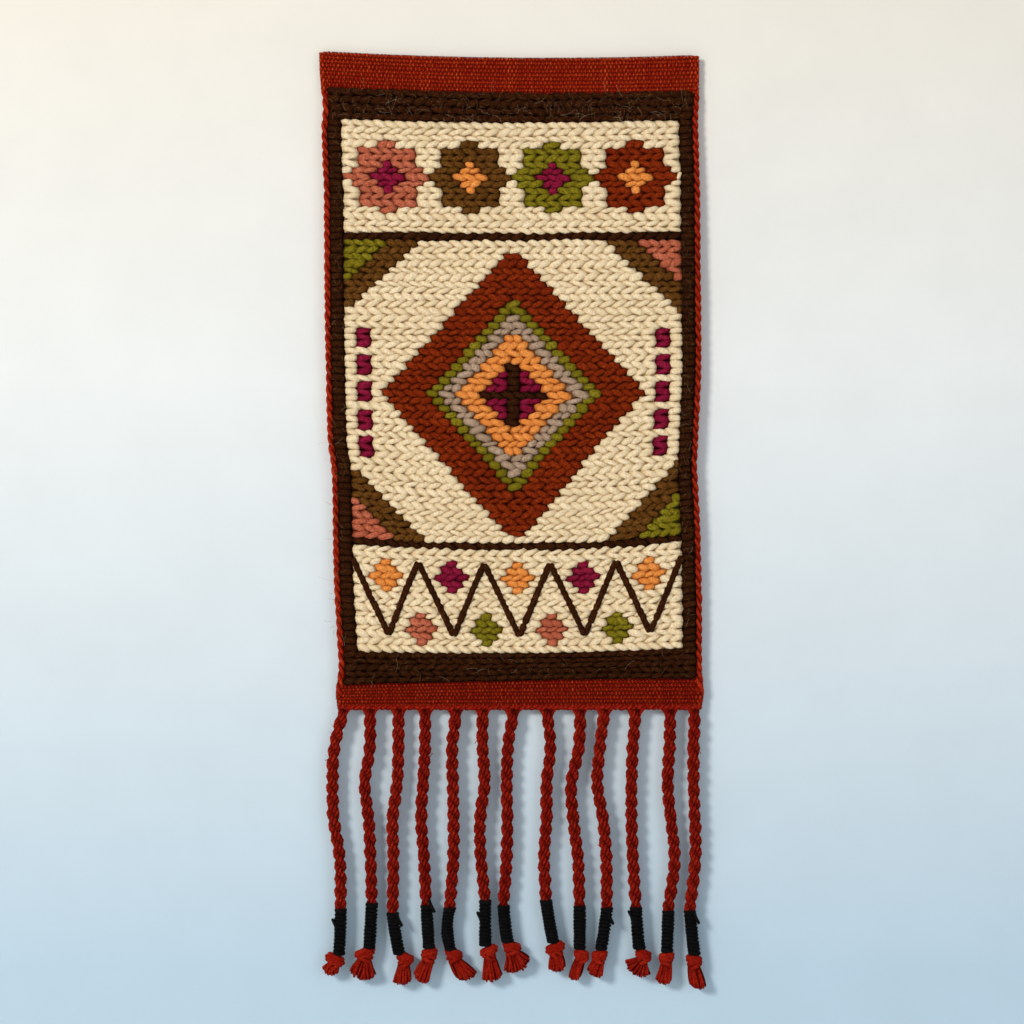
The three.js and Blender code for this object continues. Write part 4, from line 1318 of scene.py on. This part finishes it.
def tuft(number):
    rng = np.random.default_rng(400 + number)
    fan = np.linspace(0, 1, TUFT_ENDS)
    layer = np.array([TUFT_LAYERS[i % len(TUFT_LAYERS)] for i in range(TUFT_ENDS)])
    knot_x, knot_down = TUFTS["knot"][number], TUFTS["at"][number]
    aside = np.array([TUFTS["left"][number], TUFTS["right"][number]]) - knot_x
    below = np.array([TUFTS["left_at"][number], TUFTS["right_at"][number]]) - knot_down
    angle = blend(*np.arctan2(aside, below), fan) + rng.uniform(-0.03, 0.03, TUFT_ENDS)
    length = blend(*np.hypot(aside, below), fan) * (1 + 0.4 * fan * (1 - fan))
    length = length + rng.uniform(-1.3, 0.7, TUFT_ENDS)
    tip_x = knot_x + length * np.sin(angle)
    tip_down = knot_down + length * np.cos(angle)
    root_x = knot_x + (fan - 0.5) * 6.5
    t = np.linspace(0, 1, TUFT_RINGS)[None]
    curve = rng.uniform(-1.1, 1.1, (TUFT_ENDS, 1)) * np.sin(math.pi * t)
    x = blend(root_x[:, None], tip_x[:, None], t) + curve
    down = blend(knot_down + 1.0, tip_down[:, None], t)
    y = CORD_Y + layer[:, None] * np.sin(math.pi / 2 * np.minimum(1.2 * t, 1)) + 0.4 * curve
    uneven = 1 + wander(rng, (TUFT_ENDS, TUFT_RINGS), 4, 0.2)
    radius = TUFT_RADIUS * uneven * np.where(t > 0.99, 0.75, 1.0)
    brush = yarn(np.stack([x, y, -down], -1), radius, 5, spin=SPIN, seed=400 + number)
    # Painted shade: the ends are deeper in colour in the middle layers of the brush, among the others.
    return with_depth(brush, np.abs(brush["points"][:, 1] - CORD_Y), 0.2, 3.0)


for number in range(CORD_COUNT):
    name = f"{number + 1:02d}"
    tied = together([knot(number), tuft(number)])
    piece(f"knot_and_tuft_{name}", tied, CORD, [f"tuft_{name}"])

# %% [markdown]
# ## Loose fibres
# Hand-spun wool sheds. The dark yarn of the frame has coarse pale hairs that stick out and curl, most
# of them near its top bar, and many short brown ones that lie close and give it a felted look. Each
# is a very thin tube with three sides.

# %% Loose hairs
def hairs(count, x_range, down_range, out, seed, length, radius):
    rng = np.random.default_rng(seed)
    rings = 7 if length[1] > 8 else 4
    t = np.linspace(0, 1, rings)[None]
    x = rng.uniform(*x_range, (count, 1))
    down = rng.uniform(*down_range, (count, 1))
    heading = rng.uniform(0, TWO_PI, (count, 1)) + rng.uniform(-1.6, 1.6, (count, 1)) * t
    step = rng.uniform(*length, (count, 1)) / (rings - 1)
    x = x + np.cumsum(step * np.cos(heading), axis=1)
    down = down + np.cumsum(step * np.sin(heading), axis=1)
    lift = out + rng.uniform(0.3, 1.6, (count, 1)) * np.sin(math.pi * t)
    return yarn(hang(x, down, lift), radius, 3, seed=seed)


DOWN_BARS, LEFT_BAR, RIGHT_BAR = (60, 460), (-140, -131), (134, 143)
TOP_BAR, TOP_SPAN, FOOT_BAR, FOOT_SPAN = (26, 47), (-140, 138), (468, 490), (-128, 140)
LONG_LOTS = [
    (26, TOP_SPAN, TOP_BAR, 7.2, 501),
    (34, TOP_SPAN, (39, 47), 7.2, 509),
    (14, FOOT_SPAN, FOOT_BAR, 7.1, 502),
    (10, LEFT_BAR, DOWN_BARS, 7.0, 503),
    (10, RIGHT_BAR, DOWN_BARS, 7.0, 504),
]
SHORT_LOTS = [
    (320, TOP_SPAN, TOP_BAR, 6.9, 505),
    (70, FOOT_SPAN, FOOT_BAR, 6.9, 506),
    (150, LEFT_BAR, DOWN_BARS, 6.8, 507),
    (150, RIGHT_BAR, DOWN_BARS, 6.8, 508),
]
long_hairs = [hairs(*lot, length=(5, 13), radius=0.07) for lot in LONG_LOTS]
short_hairs = [hairs(*lot, length=(2, 6), radius=0.09) for lot in SHORT_LOTS]
piece("loose_hairs", together(long_hairs), HAIR)
piece("short_hairs", together(short_hairs), SHORT_HAIR)

# %% [markdown]
# ## The pieces counted
# The ground sheet is one cloth, cut by the loom to 300 by 513 mm, and it hangs from its top edge. The
# pieces and their triangles are counted.

triangles = sum(sum(len(f.vertices) - 2 for f in o.data.polygons) for o in made)
print("pieces:", len(made), "triangles:", triangles)

# %% [markdown]
# ## Wall, floor, light and camera
# The stage is a pale wall close behind the cloth and a pale floor below. The wall shows only from its
# front, so that the back of the cloth can be seen too. The light is soft daylight: a broad warm one
# from the upper left and a cooler fill. The camera looks square on from nearly two metres.

# %% Wall and floor
def plain_paint(name, top, middle, foot, one_sided):
    """Uneven pale paint in three tones, one above the other. On the wall they are painted light and
    shade: warm at the top, darker and cooler towards the foot.
    """
    material = bpy.data.materials.new(name)
    material.use_nodes = True
    tree = material.node_tree
    shader = tree.nodes["Principled BSDF"]
    place = add_node(tree, "ShaderNodeTexCoord").outputs["Object"]
    rough = stretched_noise(tree, place, (1.0, 1.0, 1.0), 14.0, 4.0)
    parts = add_node(tree, "ShaderNodeSeparateXYZ")
    tree.links.new(place, parts.inputs["Vector"])
    height = parts.outputs["Y"]
    tone = mixed(tree, ranged(tree, height, -0.72, -0.25), srgb(*foot), srgb(*middle))
    tone = mixed(tree, ranged(tree, height, -0.25, 0.05), tone, srgb(*top))
    tone = mixed(tree, ranged(tree, rough, 0.3, 0.7, 0.0, 0.05), tone, srgb(120, 120, 122))
    bump = add_node(tree, "ShaderNodeBump")
    bump.inputs["Strength"].default_value = 0.12
    bump.inputs["Distance"].default_value = 0.004
    tree.links.new(rough, bump.inputs["Height"])
    tree.links.new(bump.outputs["Normal"], shader.inputs["Normal"])
    tree.links.new(tone, shader.inputs["Base Color"])
    shader.inputs["Roughness"].default_value = 0.9
    shader.inputs["Specular IOR Level"].default_value = 0.2
    if one_sided:
        clear = add_node(tree, "ShaderNodeBsdfTransparent")
        choice = add_node(tree, "ShaderNodeMixShader")
        facing = add_node(tree, "ShaderNodeNewGeometry").outputs["Backfacing"]
        tree.links.new(facing, choice.inputs["Fac"])
        tree.links.new(shader.outputs["BSDF"], choice.inputs[1])
        tree.links.new(clear.outputs["BSDF"], choice.inputs[2])
        tree.links.new(choice.outputs["Shader"], tree.nodes["Material Output"].inputs["Surface"])
    return material


def stage_plane(name, size, location, rotation, material):
    bpy.ops.object.select_all(action="DESELECT")
    bpy.ops.mesh.primitive_plane_add(size=size, location=location, rotation=rotation)
    plane = bpy.context.object
    plane.name = name
    plane.data.materials.append(material)
    return plane


WALL_GAP = 0.0035
# Painted light and shade on the wall: warm at the top, darker and cooler towards its foot.
WARM_LIT_WHITE, WHITE, COOL_SHADED_WHITE = (220, 215, 204), (218, 221, 220), (175, 197, 212)
FLOOR_WHITE = (218, 217, 214)
wall_paint_and_light = plain_paint("wall paint and painted light", WARM_LIT_WHITE, WHITE, COOL_SHADED_WHITE, True)
floor_paint = plain_paint("floor paint", FLOOR_WHITE, FLOOR_WHITE, FLOOR_WHITE, False)
wall = stage_plane("wall", 5.0, (0, WALL_GAP, 0), (math.pi / 2, 0, 0), wall_paint_and_light)
wall.visible_shadow = False
stage_plane("floor", 8.0, (0, 0, -1.35), (0, 0, 0), floor_paint)

# %% Lights and camera
HANGING_MIDDLE = Vector((0.0, 0.0, -0.36))


def soft_light(name, location, size, power, colour):
    data = bpy.data.lights.new(name, "AREA")
    data.shape = "SQUARE"
    data.size = size
    data.energy = power
    data.color = colour
    lamp = bpy.data.objects.new(name, data)
    lamp.location = location
    lamp.rotation_euler = (HANGING_MIDDLE - Vector(location)).to_track_quat("-Z", "Y").to_euler()
    bpy.context.scene.collection.objects.link(lamp)


soft_light("window", (-2.6, -3.1, 1.2), 1.0, 150.0, (1.0, 0.95, 0.88))
soft_light("room", (1.6, -2.2, -0.3), 1.6, 12.0, (0.88, 0.94, 1.0))
soft_light("behind", (0.9, 1.7, 0.5), 1.5, 22.0, (1.0, 0.98, 0.95))
world = bpy.data.worlds.new("pale room")
world.use_nodes = True
world.node_tree.nodes["Background"].inputs["Color"].default_value = (0.84, 0.91, 1.0, 1.0)
world.node_tree.nodes["Background"].inputs["Strength"].default_value = 0.5
bpy.context.scene.world = world
bpy.context.scene.view_settings.view_transform = "Standard"

PICTURE_MM_PER_PIXEL = 0.79
PICTURE_HALF = 512
TOP_EDGE_PIXEL = (510, 58)
LENS, SENSOR = 85.0, 36.0
TRUE_SCALE_OUT = 0.0035
camera_data = bpy.data.cameras.new("camera")
camera_data.lens = LENS
camera_data.sensor_width = SENSOR
camera = bpy.data.objects.new("camera", camera_data)
centre_x = (PICTURE_HALF - TOP_EDGE_PIXEL[0]) * PICTURE_MM_PER_PIXEL * MM
centre_z = -(PICTURE_HALF - TOP_EDGE_PIXEL[1]) * PICTURE_MM_PER_PIXEL * MM
distance = 2 * PICTURE_HALF * PICTURE_MM_PER_PIXEL * MM * LENS / SENSOR
camera.location = (centre_x, -distance - TRUE_SCALE_OUT, centre_z)
camera.rotation_euler = (math.pi / 2, 0, 0)
bpy.context.scene.collection.objects.link(camera)
bpy.context.scene.camera = camera
print("camera distance, m:", round(distance, 3))
